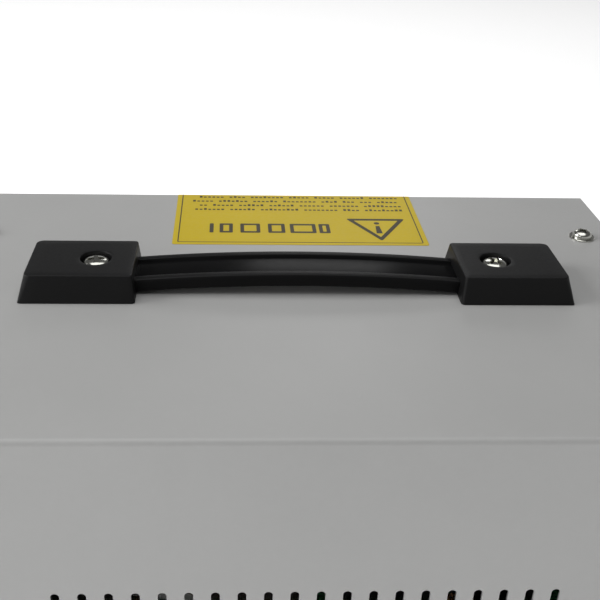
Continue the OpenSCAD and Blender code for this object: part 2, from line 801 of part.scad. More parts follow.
module terminal_bases() {
    color([0.12, 0.12, 0.12]) for (y = terminals_y) difference() {
        union() {
            bar_x(rear_wall_x - base_t, y, terminal_z, 12.5, base_t);
            bar_x(rear_wall_x - 1, y, terminal_z, 7, neck_l + 1);
        }
        bar_x(rear_wall_x - base_t - 1, y, terminal_z, stud_d / 2, base_t + neck_l + 2);
    }
}

// Studs through the rear wall, each with a slimmer plain tip outside its knob
module terminal_studs() {
    chamfer = 0.6;
    tip_r = stud_d / 2 - 0.5;
    color([0.8, 0.66, 0.32]) for (y = terminals_y) {
        translate([stud_end_x, y, terminal_z]) rotate([0, 90, 0])
            cylinder(h = chamfer, r1 = tip_r - chamfer, r2 = tip_r);
        bar_x(stud_end_x + chamfer, y, terminal_z, tip_r, stud_tip - chamfer);
        bar_x(stud_end_x + stud_tip, y, terminal_z, stud_d / 2,
              rear_wall_x + stud_in - stud_end_x - stud_tip);
    }
}

// Two nuts on each stud, one on either side of its lug
module terminal_nuts() {
    color([0.8, 0.66, 0.32]) for (y = terminals_y, x = [lug_x - nut_l, lug_x + lug_t])
        translate([x, y, terminal_z]) rotate([0, 90, 0]) nut(stud_d / 2, nut_l, 13);
}

// Fluted knob that clamps a ring terminal on its stud
module knob(y) {
    flutes = 16;
    flute_r = 1.1;
    rim_t = 3;
    bore_r = stud_d / 2 + 0.06;
    translate([rear_wall_x - base_t - knob_gap - knob_l, y, terminal_z]) rotate([0, 90, 0]) {
        linear_extrude(height = knob_l - rim_t) difference() {
            circle(knob_d / 2 - 1);
            circle(bore_r);
            for (i = [0:flutes - 1]) rotate(i * 360 / flutes)
                translate([knob_d / 2 - 0.4, 0]) circle(flute_r);
        }
        translate([0, 0, knob_l - rim_t]) linear_extrude(height = rim_t) difference() {
            circle(knob_d / 2);
            circle(bore_r);
        }
    }
}

module knob_red() {
    color([0.7, 0.06, 0.05]) knob(terminals_y[0]);
}

module knob_black() {
    color([0.06, 0.06, 0.06]) knob(terminals_y[1]);
}

module breaker_body() {
    color([0.1, 0.1, 0.1]) difference() {
        union() {
            along_x(rear_wall_x + chassis_t, 26) translate([breaker_y, breaker_z])
                square([14, 30], center = true);
            bar_x(rear_wall_x - 6, breaker_y, breaker_z, 4.9, 8);
        }
        bar_x(rear_wall_x - 10, breaker_y, breaker_z, 3.2, 14);
    }
}

module breaker_nut() {
    color([0.7, 0.7, 0.72]) translate([rear_wall_x - 2.5, breaker_y, breaker_z])
        rotate([0, 90, 0]) nut(4.95, 2.5, 14);
}

module breaker_button() {
    color([0.85, 0.85, 0.83]) {
        bar_x(rear_wall_x - 9, breaker_y, breaker_z, 3, 11);
        translate([rear_wall_x - 10, breaker_y, breaker_z]) rotate([0, 90, 0])
            cylinder(h = 1, r1 = 2, r2 = 3);
    }
}

module earth_screw() {
    color([0.8, 0.66, 0.32]) {
        translate([rear_wall_x - 5, earth_y, breaker_z]) rotate([0, -90, 0])
            pan_screw(m5_r, 16, head_m5_r, head_m5_h);
        translate([rear_wall_x - 4.9, earth_y, breaker_z]) rotate([0, 90, 0]) cylinder(h = 1, r = 6.5);
        translate([rear_wall_x - 3.9, earth_y, breaker_z]) rotate([0, 90, 0])
            cylinder(h = 3.9, r = 4 / cos(30), $fn = 6);
    }
}

// ---- Inside ----

module transformer() {
    wall = (ring_d - ring_hole) / 2;
    color([0.75, 0.45, 0.2]) translate([ring_x, ring_y, ring_z + ring_h / 2])
        rotate_extrude() translate([ring_hole / 2 + wall / 2, 0]) round_rect(wall, ring_h, ring_round);
}

module transformer_pads() {
    color([0.05, 0.05, 0.05])
        for (z = [floor_z, ring_z + ring_h]) translate([ring_x, ring_y, z]) difference() {
            cylinder(h = pad_t, r = pad_r);
            translate([0, 0, -1]) cylinder(h = pad_t + 2, r = stud_d / 2 + 1);
        }
}

// Dished washer over the ring, and the nut that pulls it down
module transformer_clamp() {
    color([0.72, 0.72, 0.74]) translate([ring_x, ring_y, clamp_z]) {
        difference() {
            cylinder(h = clamp_t, r = ring_d * 0.35);
            translate([0, 0, -1]) cylinder(h = clamp_t + 2, r = stud_d / 2 + screw_gap);
        }
        translate([0, 0, clamp_t]) nut(stud_d / 2, bolt_nut_h, 13);
    }
}

module transformer_bolt() {
    head_h = 3;
    color([0.78, 0.78, 0.8]) translate([ring_x, ring_y, 0]) {
        translate([0, 0, foot_h - head_h]) cylinder(h = head_h, r = 8);
        translate([0, 0, foot_h - 0.5])
            cylinder(h = clamp_z + clamp_t + bolt_nut_h + 2 - foot_h, r = stud_d / 2);
    }
}

module main_board() {
    color([0.1, 0.35, 0.15]) difference() {
        translate([board_x, -board_w / 2, board_z]) cube([board_l, board_w, board_t]);
        for (x = [5, board_l - 5], y = [-1, 1]) translate([board_x + x, y * (board_w / 2 - 5), board_z - 1])
            cylinder(h = 4, r = m3_r);
    }
}

module board_spacers() {
    color([0.72, 0.72, 0.74])
        for (x = [5, board_l - 5], y = [-1, 1]) translate([board_x + x, y * (board_w / 2 - 5), floor_z])
            difference() {
                cylinder(h = spacer_h, r = 3.2, $fn = 6);
                translate([0, 0, spacer_h - 5]) cylinder(h = 6, r = m3_r);
            }
}

module board_screws() {
    color([0.78, 0.78, 0.8])
        for (x = [5, board_l - 5], y = [-1, 1]) translate([board_x + x, y * (board_w / 2 - 5), board_top])
            pan_screw(m3_r, 5, 2.8, 2);
}

// Finned bar along X, with its flat back at y = 0 and its fins towards +Y
module heat_sink() {
    fins = 6;
    fin_t = 1.6;
    cube([sink_l, 4, sink_h]);
    for (i = [0:fins - 1]) translate([0, 3.9, i * (sink_h - fin_t) / (fins - 1)])
        cube([sink_l, 18, fin_t]);
}

module heat_sinks() {
    color([0.6, 0.6, 0.62]) for (s = [-1, 1])
        translate([sink_x, sink_y + s * sink_half_gap, board_top]) mirror([0, s > 0 ? 0 : 1, 0]) heat_sink();
}

module transistors() {
    body_t = 4.6;
    count = floor(sink_l / 14);
    color([0.08, 0.08, 0.08]) for (s = [-1, 1], i = [0:count - 1])
        translate([sink_x + 2 + i * sink_l / count,
                   sink_y + s * sink_half_gap - (s > 0 ? body_t : 0), board_top])
            cube([10, body_t, 16]);
}

// Three in a row, which staggers where the board is too short for them side by side
module capacitors() {
    can_r = 8;
    pitch = (board_l - 42) / 2;
    aside = sqrt(max(0, pow(2 * can_r + 1, 2) - pitch * pitch));
    color([0.15, 0.2, 0.4])
        for (i = [0:2])
            translate([board_x + 30 + i * pitch, -board_w / 2 + 20 + (i % 2) * aside, board_top])
                cylinder(h = 36, r = can_r);
}

module output_choke() {
    color([0.7, 0.5, 0.2]) translate([board_x + board_l / 2, board_w / 2 - 14, board_top + 13])
        rotate([90, 0, 0]) rotate_extrude() translate([9, 0]) round_rect(8, 12, 2.5);
}

// Lugs between the studs' nuts, and the blocks on the board that the leads run to
module battery_lugs() {
    color([0.8, 0.66, 0.32]) {
        for (y = terminals_y) {
            difference() {
                translate([lug_x, y - 6, terminal_z - 14]) cube([lug_t, 12, 20]);
                bar_x(lug_x - 1, y, terminal_z, stud_d / 2, lug_t + 2);
            }
            translate([board_x + block_in, y - block_l / 2, board_top])
                cube([block_l, block_l, block_h]);
        }
        translate([board_x + board_l - 1 - block_l, output_y - block_l / 2, board_top])
            cube([block_l, block_l, block_h]);
    }
}

// Ring of points around a place on a route. The direction there is d, and ref is never along it.
function unit(v) = v / norm(v);
function ring_at(p, d, ref, r, n) =
    let (side = unit(cross(d, ref)), up = cross(side, d))
    [for (k = [0:n - 1]) p + r * (cos(360 * k / n) * side + sin(360 * k / n) * up)];

// Round lead along a list of points
module lead(route, r, ref, n = 8) {
    last = len(route) - 1;
    rings = [for (i = [0:last]) ring_at(route[i],
        unit(route[min(i + 1, last)] - route[max(i - 1, 0)]), ref, r, n)];
    points = [for (ring = rings, p = ring) p];
    walls = [for (i = [0:last - 1], k = [0:n - 1])
        [i * n + k, i * n + (k + 1) % n, (i + 1) * n + (k + 1) % n, (i + 1) * n + k]];
    start = [for (k = [n - 1:-1:0]) k];
    end = [for (k = [0:n - 1]) last * n + k];
    polyhedron(points, concat(walls, [start, end]));
}

// Quarter bend of radius r in an XZ plane, about a centre, from one angle to another
function bend_xz(x, y, z, r, from, to) =
    [for (i = [0:5]) let (a = from + (to - from) * i / 5) [x + r * cos(a), y, z + r * sin(a)]];

// From a lug down, and forward to its block on the board
module battery_lead(y) {
    turn = 6;
    x = lug_x + lug_t / 2;
    run_z = board_top + block_h / 2;
    lead(concat(
        [[x, y, terminal_z - 14]],
        bend_xz(x + turn, y, run_z + turn, turn, 180, 270),
        [[board_x + block_in, y, run_z]]), lead_r, [0, 1, 0]);
}

module lead_positive() {
    color([0.7, 0.06, 0.05]) battery_lead(terminals_y[0]);
}

module lead_negative() {
    color([0.05, 0.05, 0.05]) battery_lead(terminals_y[1]);
}

// From the outlet nearer the middle, around the transformer, to its block on the board
module lead_outlets() {
    from_x = well_floor_x - floor_t - back_d;
    past_ring = ring_y + ring_d / 2 + 14;
    run_z = board_top + block_h / 2;
    to_x = board_x + board_l - 1;
    color([0.85, 0.85, 0.82]) lead([
        [from_x, outlets_y[1], outlet_z], [from_x - 4, outlets_y[1], outlet_z],
        [from_x - 7, outlets_y[1] + 2, outlet_z], [from_x - 10, outlets_y[1] + 7, outlet_z],
        [from_x - 13, past_ring - 4, outlet_z - 1], [from_x - 17, past_ring + 8, outlet_z - 3],
        [from_x - 26, past_ring + 14, outlet_z - 6], [ring_x, past_ring + 16, outlet_z - 14],
        [to_x + 30, output_y - 4, run_z + 4], [to_x + 14, output_y, run_z], [to_x, output_y, run_z]
    ], outlet_lead_r, [0, 0, 1]);
}

// From the top of the ring over its rim and down to the board
module leads_transformer() {
    turn = 6;
    from_x = ring_x - ring_d / 2 + ring_round + winding_lead_r + 1.5;
    to_x = board_x + board_l - 4;
    over_z = ring_z + ring_h + 10;
    color([0.85, 0.65, 0.1]) for (y = [ring_y - 8, ring_y + 8]) lead(concat(
        [[from_x, y, ring_z + ring_h]],
        bend_xz(from_x - turn, y, over_z - turn, turn, 0, 90),
        bend_xz(to_x + turn, y, over_z - turn, turn, 90, 180),
        [[to_x, y, board_top]]), winding_lead_r, [0, 1, 0]);
}

top_cover();
chassis();
warning_label();
rubber_feet();
feet_screws();
cover_screws_top();
cover_screws_side();
handle_cap_front();
handle_cap_rear();
handle_grip();
handle_flex(1);  // handle_flex_front
handle_flex(-1);  // handle_flex_rear
handle_screws();
handle_nuts();
front_bezel();
display_window();
display_module();
control_board();
indicator_leds();
button(0);  // button_power
button(1);  // button_left
button(2);  // button_right
outlet_shell(outlets_y[0]);  // outlet_left_shell
outlet_shell(outlets_y[1]);  // outlet_right_shell
outlet_floors();
outlet_backs();
outlet_contacts();
outlet_earth_pins();
switch_frame();
switch_rocker();
fan_frame();
fan_rotor();
fan_guard();
fan_screws();
terminal_bases();
terminal_studs();
terminal_nuts();
knob_red();
knob_black();
breaker_body();
breaker_nut();
breaker_button();
earth_screw();
transformer();
transformer_pads();
transformer_clamp();
transformer_bolt();
main_board();
board_spacers();
board_screws();
heat_sinks();
transistors();
capacitors();
output_choke();
battery_lugs();
lead_positive();
lead_negative();
lead_outlets();
leads_transformer();
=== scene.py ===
import json
import math
import random

import bmesh
import bpy
from mathutils import Matrix, Vector


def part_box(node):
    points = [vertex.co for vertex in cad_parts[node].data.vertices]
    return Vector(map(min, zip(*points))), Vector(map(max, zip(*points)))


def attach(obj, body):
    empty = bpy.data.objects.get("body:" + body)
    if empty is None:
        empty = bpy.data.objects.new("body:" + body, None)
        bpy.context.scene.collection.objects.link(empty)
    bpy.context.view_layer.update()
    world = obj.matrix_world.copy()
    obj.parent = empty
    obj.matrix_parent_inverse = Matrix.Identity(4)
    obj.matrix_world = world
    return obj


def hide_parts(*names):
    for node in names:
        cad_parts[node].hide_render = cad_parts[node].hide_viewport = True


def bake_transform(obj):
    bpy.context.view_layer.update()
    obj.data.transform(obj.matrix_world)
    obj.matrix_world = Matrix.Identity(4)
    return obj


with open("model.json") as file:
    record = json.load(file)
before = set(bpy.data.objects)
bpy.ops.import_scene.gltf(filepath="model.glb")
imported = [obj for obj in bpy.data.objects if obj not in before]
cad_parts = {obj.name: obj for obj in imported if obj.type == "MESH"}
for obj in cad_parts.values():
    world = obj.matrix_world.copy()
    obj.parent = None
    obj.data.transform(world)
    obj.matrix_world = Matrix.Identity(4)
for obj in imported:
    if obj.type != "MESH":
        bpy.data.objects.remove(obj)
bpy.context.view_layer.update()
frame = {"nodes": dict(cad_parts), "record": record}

MM = 0.001
CASE = "case"


# ---- Places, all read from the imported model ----

CASE_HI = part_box("top_cover")[1]
TOP_Z = CASE_HI.z
SIDE_Y = CASE_HI.y
FACE_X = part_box("front_bezel")[1].x
CAP_LO, CAP_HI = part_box("handle_cap_front")
CAP_INNER_X = CAP_LO.x
HANDLE_Y = (CAP_LO.y + CAP_HI.y) / 2


def middle(node):
    """Centre of a CAD node's box."""
    low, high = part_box(node)
    return (low + high) / 2


def solid_boxes(node):
    """Lowest and highest corner of each separate solid in a CAD node, sorted by place."""
    bm = bmesh.new()
    bm.from_mesh(frame["nodes"][node].data)
    bmesh.ops.remove_doubles(bm, verts=bm.verts, dist=1e-6)
    left, boxes = set(bm.verts), []
    while left:
        queue, group = [left.pop()], []
        while queue:
            vert = queue.pop()
            group.append(vert.co)
            for edge in vert.link_edges:
                other = edge.other_vert(vert)
                if other in left:
                    left.remove(other)
                    queue.append(other)
        low = Vector([min(p[i] for p in group) for i in range(3)])
        high = Vector([max(p[i] for p in group) for i in range(3)])
        boxes.append((low, high))
    bm.free()
    return sorted(boxes, key=lambda b: [round(v, 4) for v in (b[0] + b[1]) / 2])


# ---- Materials ----

def colour_of(slot):
    """The record's base colour for a material slot."""
    for row in frame["record"]["materials"]:
        if row["slot"] == slot:
            return row["base_color"][:3]
    raise KeyError(slot)


def noise(nodes, links, coords, scale, detail=2.0):
    node = nodes.new("ShaderNodeTexNoise")
    node.inputs["Scale"].default_value = scale
    node.inputs["Detail"].default_value = detail
    links.new(coords, node.inputs["Vector"])
    return node.outputs["Fac"]


def stretch(nodes, links, value, low, high):
    """Spreads the middle of a noise value over low to high."""
    node = nodes.new("ShaderNodeMapRange")
    node.inputs["From Min"].default_value = 0.3
    node.inputs["From Max"].default_value = 0.7
    node.inputs["To Min"].default_value = low
    node.inputs["To Max"].default_value = high
    links.new(value, node.inputs["Value"])
    return node.outputs["Result"]


def add_bump(nodes, links, height, distance, strength, before=None):
    node = nodes.new("ShaderNodeBump")
    node.inputs["Distance"].default_value = distance
    node.inputs["Strength"].default_value = strength
    links.new(height, node.inputs["Height"])
    if before is not None:
        links.new(before, node.inputs["Normal"])
    return node.outputs["Normal"]


def surface(name, colour, rough, metallic=0.0, grain=None, mottle=0.06, patch=60, wobble=0.06,
            scratches=0.0, coat=0.0, gloss=0.5):
    """A finished surface. It has slow and fine colour variation, varying roughness, and grain, which is a
    list of (bumps per metre, height in metres, strength). Scratches are fine marks along X."""
    material = bpy.data.materials.new(name)
    material.use_nodes = True
    nodes, links = material.node_tree.nodes, material.node_tree.links
    shader = nodes["Principled BSDF"]
    coords = nodes.new("ShaderNodeTexCoord").outputs["Object"]
    slow = noise(nodes, links, coords, patch, 3.0)
    fine = noise(nodes, links, coords, patch * 14, 2.0)
    blend = nodes.new("ShaderNodeMix")
    blend.inputs["Factor"].default_value = 0.35
    links.new(slow, blend.inputs["A"])
    links.new(fine, blend.inputs["B"])
    ramp = nodes.new("ShaderNodeValToRGB")
    ramp.color_ramp.elements[0].position = 0.3
    ramp.color_ramp.elements[1].position = 0.7
    ramp.color_ramp.elements[0].color = [c * (1 - mottle) for c in colour] + [1]
    ramp.color_ramp.elements[1].color = [min(1, c * (1 + mottle)) for c in colour] + [1]
    links.new(blend.outputs["Result"], ramp.inputs["Fac"])
    links.new(ramp.outputs["Color"], shader.inputs["Base Color"])
    links.new(stretch(nodes, links, fine, rough - wobble, rough + wobble), shader.inputs["Roughness"])
    shader.inputs["Metallic"].default_value = metallic
    shader.inputs["Coat Weight"].default_value = coat
    shader.inputs["Coat Roughness"].default_value = 0.12
    shader.inputs["Specular IOR Level"].default_value = gloss
    normal = None
    for scale, height, strength in grain or []:
        normal = add_bump(nodes, links, noise(nodes, links, coords, scale, 2.0), height, strength, normal)
    if scratches:
        squeeze = nodes.new("ShaderNodeMapping")
        squeeze.inputs["Scale"].default_value = (40, 4000, 4000)
        links.new(coords, squeeze.inputs["Vector"])
        marks = noise(nodes, links, squeeze.outputs["Vector"], 1.0, 3.0)
        normal = add_bump(nodes, links, marks, 0.00001, scratches, normal)
    if normal is not None:
        links.new(normal, shader.inputs["Normal"])
    return material


def see_through(name, colour, rough, clear):
    """A tinted clear plastic: smooth, with faint swirls in its gloss."""
    material = surface(name, colour, rough, mottle=0.04, wobble=0.03, patch=90)
    shader = material.node_tree.nodes["Principled BSDF"]
    shader.inputs["Transmission Weight"].default_value = clear
    shader.inputs["IOR"].default_value = 1.49
    return material


def glowing(name, colour, strength):
    """A lit surface, with the unevenness of a backlight."""
    material = surface(name, colour, 0.4, mottle=0.12, patch=45)
    shader = material.node_tree.nodes["Principled BSDF"]
    shader.inputs["Emission Color"].default_value = colour + (1,)
    shader.inputs["Emission Strength"].default_value = strength
    return material


def board_material():
    """Green circuit board: solder mask with copper tracks showing through as paler lines."""
    material = surface("board", colour_of("board"), 0.35, mottle=0.1, grain=[(3000, 0.00001, 0.4)])
    nodes, links = material.node_tree.nodes, material.node_tree.links
    shader = nodes["Principled BSDF"]
    old = shader.inputs["Base Color"].links[0].from_socket
    coords = nodes.new("ShaderNodeTexCoord").outputs["Object"]
    bricks = nodes.new("ShaderNodeTexBrick")
    bricks.inputs["Scale"].default_value = 130
    bricks.inputs["Mortar Size"].default_value = 0.06
    bricks.inputs["Color1"].default_value = (0, 0, 0, 1)
    bricks.inputs["Color2"].default_value = (0, 0, 0, 1)
    bricks.inputs["Mortar"].default_value = (1, 1, 1, 1)
    links.new(coords, bricks.inputs["Vector"])
    tracks = nodes.new("ShaderNodeMix")
    tracks.data_type = "RGBA"
    links.new(bricks.outputs["Fac"], tracks.inputs["Factor"])
    links.new(old, tracks.inputs["A"])
    tracks.inputs["B"].default_value = (0.10, 0.42, 0.18, 1)
    links.new(tracks.outputs["Result"], shader.inputs["Base Color"])
    return material


def make_materials():
    """One material for each slot of the record, and a few for printed and lit details."""
    powder = [(1500, 0.00004, 0.35), (5200, 0.00001, 0.35)]
    moulded = [(2600, 0.00003, 0.55), (7000, 0.00001, 0.5)]
    smooth = [(900, 0.00001, 0.25)]
    cast = [(1200, 0.00003, 0.5)]
    made = {
        "case_paint": dict(rough=0.42, grain=powder, mottle=0.025, patch=25, wobble=0.04),
        "chassis_steel": dict(rough=0.5, grain=powder, mottle=0.03, patch=25, wobble=0.04),
        "label": dict(rough=0.42, grain=[(400, 0.00003, 0.25)], mottle=0.04, patch=40, gloss=0.15),
        "handle_plastic": dict(rough=0.4, grain=[(6000, 0.00001, 0.4)], mottle=0.1, patch=60,
                               wobble=0.03, gloss=0.17),
        "strap_vinyl": dict(rough=0.38, grain=smooth, mottle=0.08, patch=60, wobble=0.02, gloss=0.12),
        "rubber": dict(rough=0.75, grain=cast, mottle=0.15),
        "panel_plastic": dict(rough=0.5, grain=moulded, mottle=0.08),
        "lcd": dict(rough=0.3, mottle=0.05),
        "button_plastic": dict(rough=0.45, grain=moulded, mottle=0.08),
        "outlet_plastic": dict(rough=0.3, grain=smooth, mottle=0.08, coat=0.2),
        "brass": dict(rough=0.28, metallic=1.0, grain=smooth, mottle=0.12, patch=150, scratches=0.4),
        "rocker": dict(rough=0.22, grain=smooth, mottle=0.08, coat=0.6),
        "fan_plastic": dict(rough=0.5, grain=moulded, mottle=0.1),
        "red_plastic": dict(rough=0.3, grain=smooth, mottle=0.08, coat=0.3),
        "black_plastic": dict(rough=0.35, grain=smooth, mottle=0.1, coat=0.15),
        "white_plastic": dict(rough=0.35, grain=smooth, mottle=0.05),
        "copper": dict(rough=0.3, metallic=0.85, grain=smooth, mottle=0.2, patch=160, coat=0.5),
        "aluminium": dict(rough=0.35, metallic=1.0, mottle=0.06, scratches=1.0),
        "component_black": dict(rough=0.55, grain=cast, mottle=0.1),
        "component_blue": dict(rough=0.3, grain=smooth, mottle=0.1, coat=0.4),
        "lead_yellow": dict(rough=0.4, grain=smooth, mottle=0.08),
    }
    materials = {name: surface(name, colour_of(name), **look) for name, look in made.items()}
    materials["board"] = board_material()
    materials["zinc"] = surface("zinc", (0.52, 0.52, 0.48), 0.17, metallic=1.0, grain=smooth,
                                mottle=0.1, patch=220, scratches=0.3)
    materials["window"] = see_through("window", (0.55, 0.62, 0.68), 0.06, 0.9)
    materials["led"] = glowing("led", (0.10, 0.75, 0.20), 1.2)
    materials["ink"] = surface("ink", (0.035, 0.028, 0.012), 0.5, mottle=0.25, patch=200,
                               grain=[(2500, 0.00001, 0.4)])
    materials["print_white"] = surface("print_white", (0.62, 0.62, 0.6), 0.5, mottle=0.08)
    materials["backlight"] = glowing("backlight", (0.02, 0.10, 0.42), 0.6)
    materials["segment"] = glowing("segment", (0.75, 0.88, 1.0), 1.4)
    materials["strap_gloss"] = surface("strap_gloss", colour_of("strap_vinyl"), 0.2, mottle=0.06, patch=40,
                                       wobble=0.02, grain=[(90, 0.00006, 0.15)], gloss=0.03)
    return materials


MATERIAL = make_materials()


# ---- Mesh tools ----

def around(count):
    """Angles of count places spaced evenly round a circle."""
    return [2 * math.pi * k / count for k in range(count)]


def quarter(steps):
    """Angles from 0 to 90 degrees in equal steps, both ends included."""
    return [math.pi / 2 * k / steps for k in range(steps + 1)]


def make_object(name, bm, material, smooth_angle=35, body=CASE, replaces=()):
    """Turns a bmesh into a piece that rides on a body, smooth but for edges sharper than an angle."""
    bmesh.ops.remove_doubles(bm, verts=bm.verts, dist=1e-7)
    bmesh.ops.recalc_face_normals(bm, faces=bm.faces)
    for face in bm.faces:
        face.smooth = True
    limit = math.radians(smooth_angle)
    for edge in bm.edges:
        edge.smooth = len(edge.link_faces) == 2 and edge.calc_face_angle(0) < limit
    mesh = bpy.data.meshes.new(name)
    bm.to_mesh(mesh)
    bm.free()
    piece = bpy.data.objects.new(name, mesh)
    bpy.context.scene.collection.objects.link(piece)
    mesh.materials.append(MATERIAL[material])
    if body:
        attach(piece, body)
    if replaces:
        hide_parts(*replaces)
    return piece


def skin(bm, rings, closed_ends=True, ring_closed=True):
    """Faces between rings of points. All have the same number of points, or one at a pole."""
    made = [[bm.verts.new(p) for p in ring] for ring in rings]
    count = max(len(ring) for ring in rings)
    last = count if ring_closed else count - 1
    faces = []
    for a, b in zip(made, made[1:]):
        for k in range(last):
            j = (k + 1) % count
            corners = [a[k % len(a)], a[j % len(a)], b[j % len(b)], b[k % len(b)]]
            faces.append(bm.faces.new(list(dict.fromkeys(corners))))
    if closed_ends:
        for ring in (made[0][::-1], made[-1]):
            if len(ring) > 1:
                bm.faces.new(ring)
    return faces


def lathe(bm, profile, centre, axis=(0, 0, 1), segments=48):
    """Turns a profile of (radius, height) about an axis through centre. A radius of 0 closes the end."""
    turn = Vector((0, 0, 1)).rotation_difference(Vector(axis)).to_matrix()
    rings = []
    for radius, height in profile:
        angles = [2 * math.pi * k / segments for k in range(segments if radius else 1)]
        rings.append([Vector(centre) + turn @ Vector((radius * math.cos(a), radius * math.sin(a), height))
                      for a in angles])
    skin(bm, rings)


def tube(bm, points, radius, sides=12, closed=False):
    """Round bar along points, carried along without twist."""
    points = [Vector(p) for p in points]
    count = len(points)
    rings, side = [], None
    for i, p in enumerate(points):
        before = points[(i - 1) % count] if closed or i else p
        after = points[(i + 1) % count] if closed or i < count - 1 else p
        along = (after - before).normalized()
        if side is None:
            side = along.cross(Vector((0, 0, 1)))
            side = (side if side.length > 0.1 else along.cross(Vector((0, 1, 0)))).normalized()
        side = (side - along * side.dot(along)).normalized()
        up = side.cross(along)
        rings.append([p + radius * (math.cos(2 * math.pi * k / sides) * side
                                    + math.sin(2 * math.pi * k / sides) * up) for k in range(sides)])
    if closed:
        rings.append(rings[0])
    skin(bm, rings, closed_ends=not closed)


def hexahedron(bm, low, high):
    """Tapered block between two levels: low and high are (half length, half width, height)."""
    corners = [(-1, -1), (1, -1), (1, 1), (-1, 1)]
    skin(bm, [[(x * l, y * w, z) for x, y in corners] for l, w, z in (low, high)])


def cut(target, cutter):
    """The target's mesh with the cutter's taken away, as a new mesh. Both bmeshes are used up."""
    objects = []
    for name, bm in (("target", target), ("cutter", cutter)):
        bmesh.ops.recalc_face_normals(bm, faces=bm.faces)
        mesh = bpy.data.meshes.new(name)
        bm.to_mesh(mesh)
        bm.free()
        piece = bpy.data.objects.new(name, mesh)
        bpy.context.scene.collection.objects.link(piece)
        objects.append(piece)
    modifier = objects[0].modifiers.new("cut", "BOOLEAN")
    modifier.operation = "DIFFERENCE"
    modifier.solver = "EXACT"
    modifier.use_self = True
    modifier.object = objects[1]
    bpy.context.view_layer.update()
    graph = bpy.context.evaluated_depsgraph_get()
    result = bpy.data.meshes.new_from_object(objects[0].evaluated_get(graph))
    for piece in objects:
        bpy.data.objects.remove(piece)
    return result


# ---- Screws ----

def screw_mesh(head_r, head_h, shank_r, shank_l, washer_r=0.0, washer_h=0.0):
    """Pan-head screw with a cross recess. Its seat is z = 0 and it points down."""
    squareness = 0.72
    head = [(head_r * math.sin(a) ** squareness, washer_h + head_h * math.cos(a) ** squareness)
            for a in quarter(10)]
    profile = [(0, washer_h + head_h)] + head[1:]
    if washer_r:
        edge = washer_h * 0.3
        profile += [(head_r, washer_h), (washer_r - edge, washer_h), (washer_r, washer_h - edge),
                    (washer_r, 0)]
    else:
        profile += [(head_r, 0)]
    profile += [(shank_r, 0)]
    pitch = shank_r * 0.35
    turns = int((shank_l - 2 * pitch) / pitch)
    for i in range(turns):
        z = -pitch * (i + 0.5)
        profile += [(shank_r, z), (shank_r * 0.86, z - pitch / 2)]
    profile += [(shank_r * 0.8, -shank_l + pitch * 0.4), (shank_r * 0.55, -shank_l), (0, -shank_l)]
    body = bmesh.new()
    lathe(body, profile, (0, 0, 0), segments=40)
    recess = bmesh.new()
    top, deep = washer_h + head_h + MM, washer_h + head_h * 0.2
    for turn in (0, 90):
        blade = bmesh.new()
        hexahedron(blade, (head_r * 0.34, head_r * 0.1, deep), (head_r * 0.7, head_r * 0.17, top))
        blade.transform(Matrix.Rotation(math.radians(turn), 4, "Z"))
        arm = bpy.data.meshes.new("arm")
        blade.to_mesh(arm)
        blade.free()
        recess.from_mesh(arm)
    return cut(body, recess)


def place_screws(name, mesh, places, spins, body=CASE):
    """Copies of a screw at (seat, outward axis), each turned a little differently."""
    bm = bmesh.new()
    for i, (seat, axis) in enumerate(places):
        turn = Vector((0, 0, 1)).rotation_difference(Vector(axis)).to_matrix().to_4x4()
        spin = Matrix.Rotation(math.radians(spins[i % len(spins)]), 4, "Z")
        copy = mesh.copy()
        copy.transform(Matrix.Translation(seat) @ turn @ spin)
        bm.from_mesh(copy)
    return make_object(name + "_detailed", bm, "zinc", 30, body, replaces=(name,))


def screws_of(name, axis, mesh, head_h, spins):
    """Replaces a CAD node of screws: each seat is the far side of the head, along the axis."""
    axis = Vector(axis)
    places = []
    for low, high in solid_boxes(name):
        centre = (low + high) / 2
        reach = abs(axis.dot(high - low)) / 2
        places.append((centre + axis * (reach - head_h), axis))
    return place_screws(name, mesh, places, spins)


def make_screws():
    """Every visible screw. The spins are the turns of the cross recesses, in degrees."""
    spins = [17, 62, -24, 40, 5, 78]
    up, down, rearward = (0, 0, 1), (0, 0, -1), (-1, 0, 0)
    m4_r, m4_head_r, m4_head_h = 2 * MM, 4.6 * MM, 2.8 * MM
    m5_r, m5_head_r, m5_head_h = 2.5 * MM, 5.8 * MM, 3.6 * MM
    m5 = screw_mesh(m5_head_r, m5_head_h, m5_r, 14.5 * MM)
    screws_of("handle_screws", up, m5, m5_head_h, [38, 8])
    flange_r, flange_h = 5.6 * MM, 0.8 * MM
    flanged = screw_mesh(4.3 * MM, m4_head_h, m4_r, 8 * MM, flange_r, flange_h)
    screws_of("cover_screws_top", up, flanged, m4_head_h + flange_h, spins)
    m4 = screw_mesh(m4_head_r, m4_head_h, m4_r, 6 * MM)
    places = []
    for low, high in solid_boxes("cover_screws_side"):
        centre = (low + high) / 2
        side = 1 if centre.y > 0 else -1
        places.append((Vector((centre.x, side * SIDE_Y, centre.z)), Vector((0, side, 0))))
    place_screws("cover_screws_side", m4, places, spins)
    foot = screw_mesh(m4_head_r, m4_head_h, m4_r, 7.2 * MM)
    screws_of("feet_screws", down, foot, m4_head_h, spins)
    fan_head_h = 2.6 * MM
    fan = screw_mesh(3.8 * MM, fan_head_h, m4_r, 12 * MM)
    screws_of("fan_screws", rearward, fan, fan_head_h, spins)


# ---- Handle ----

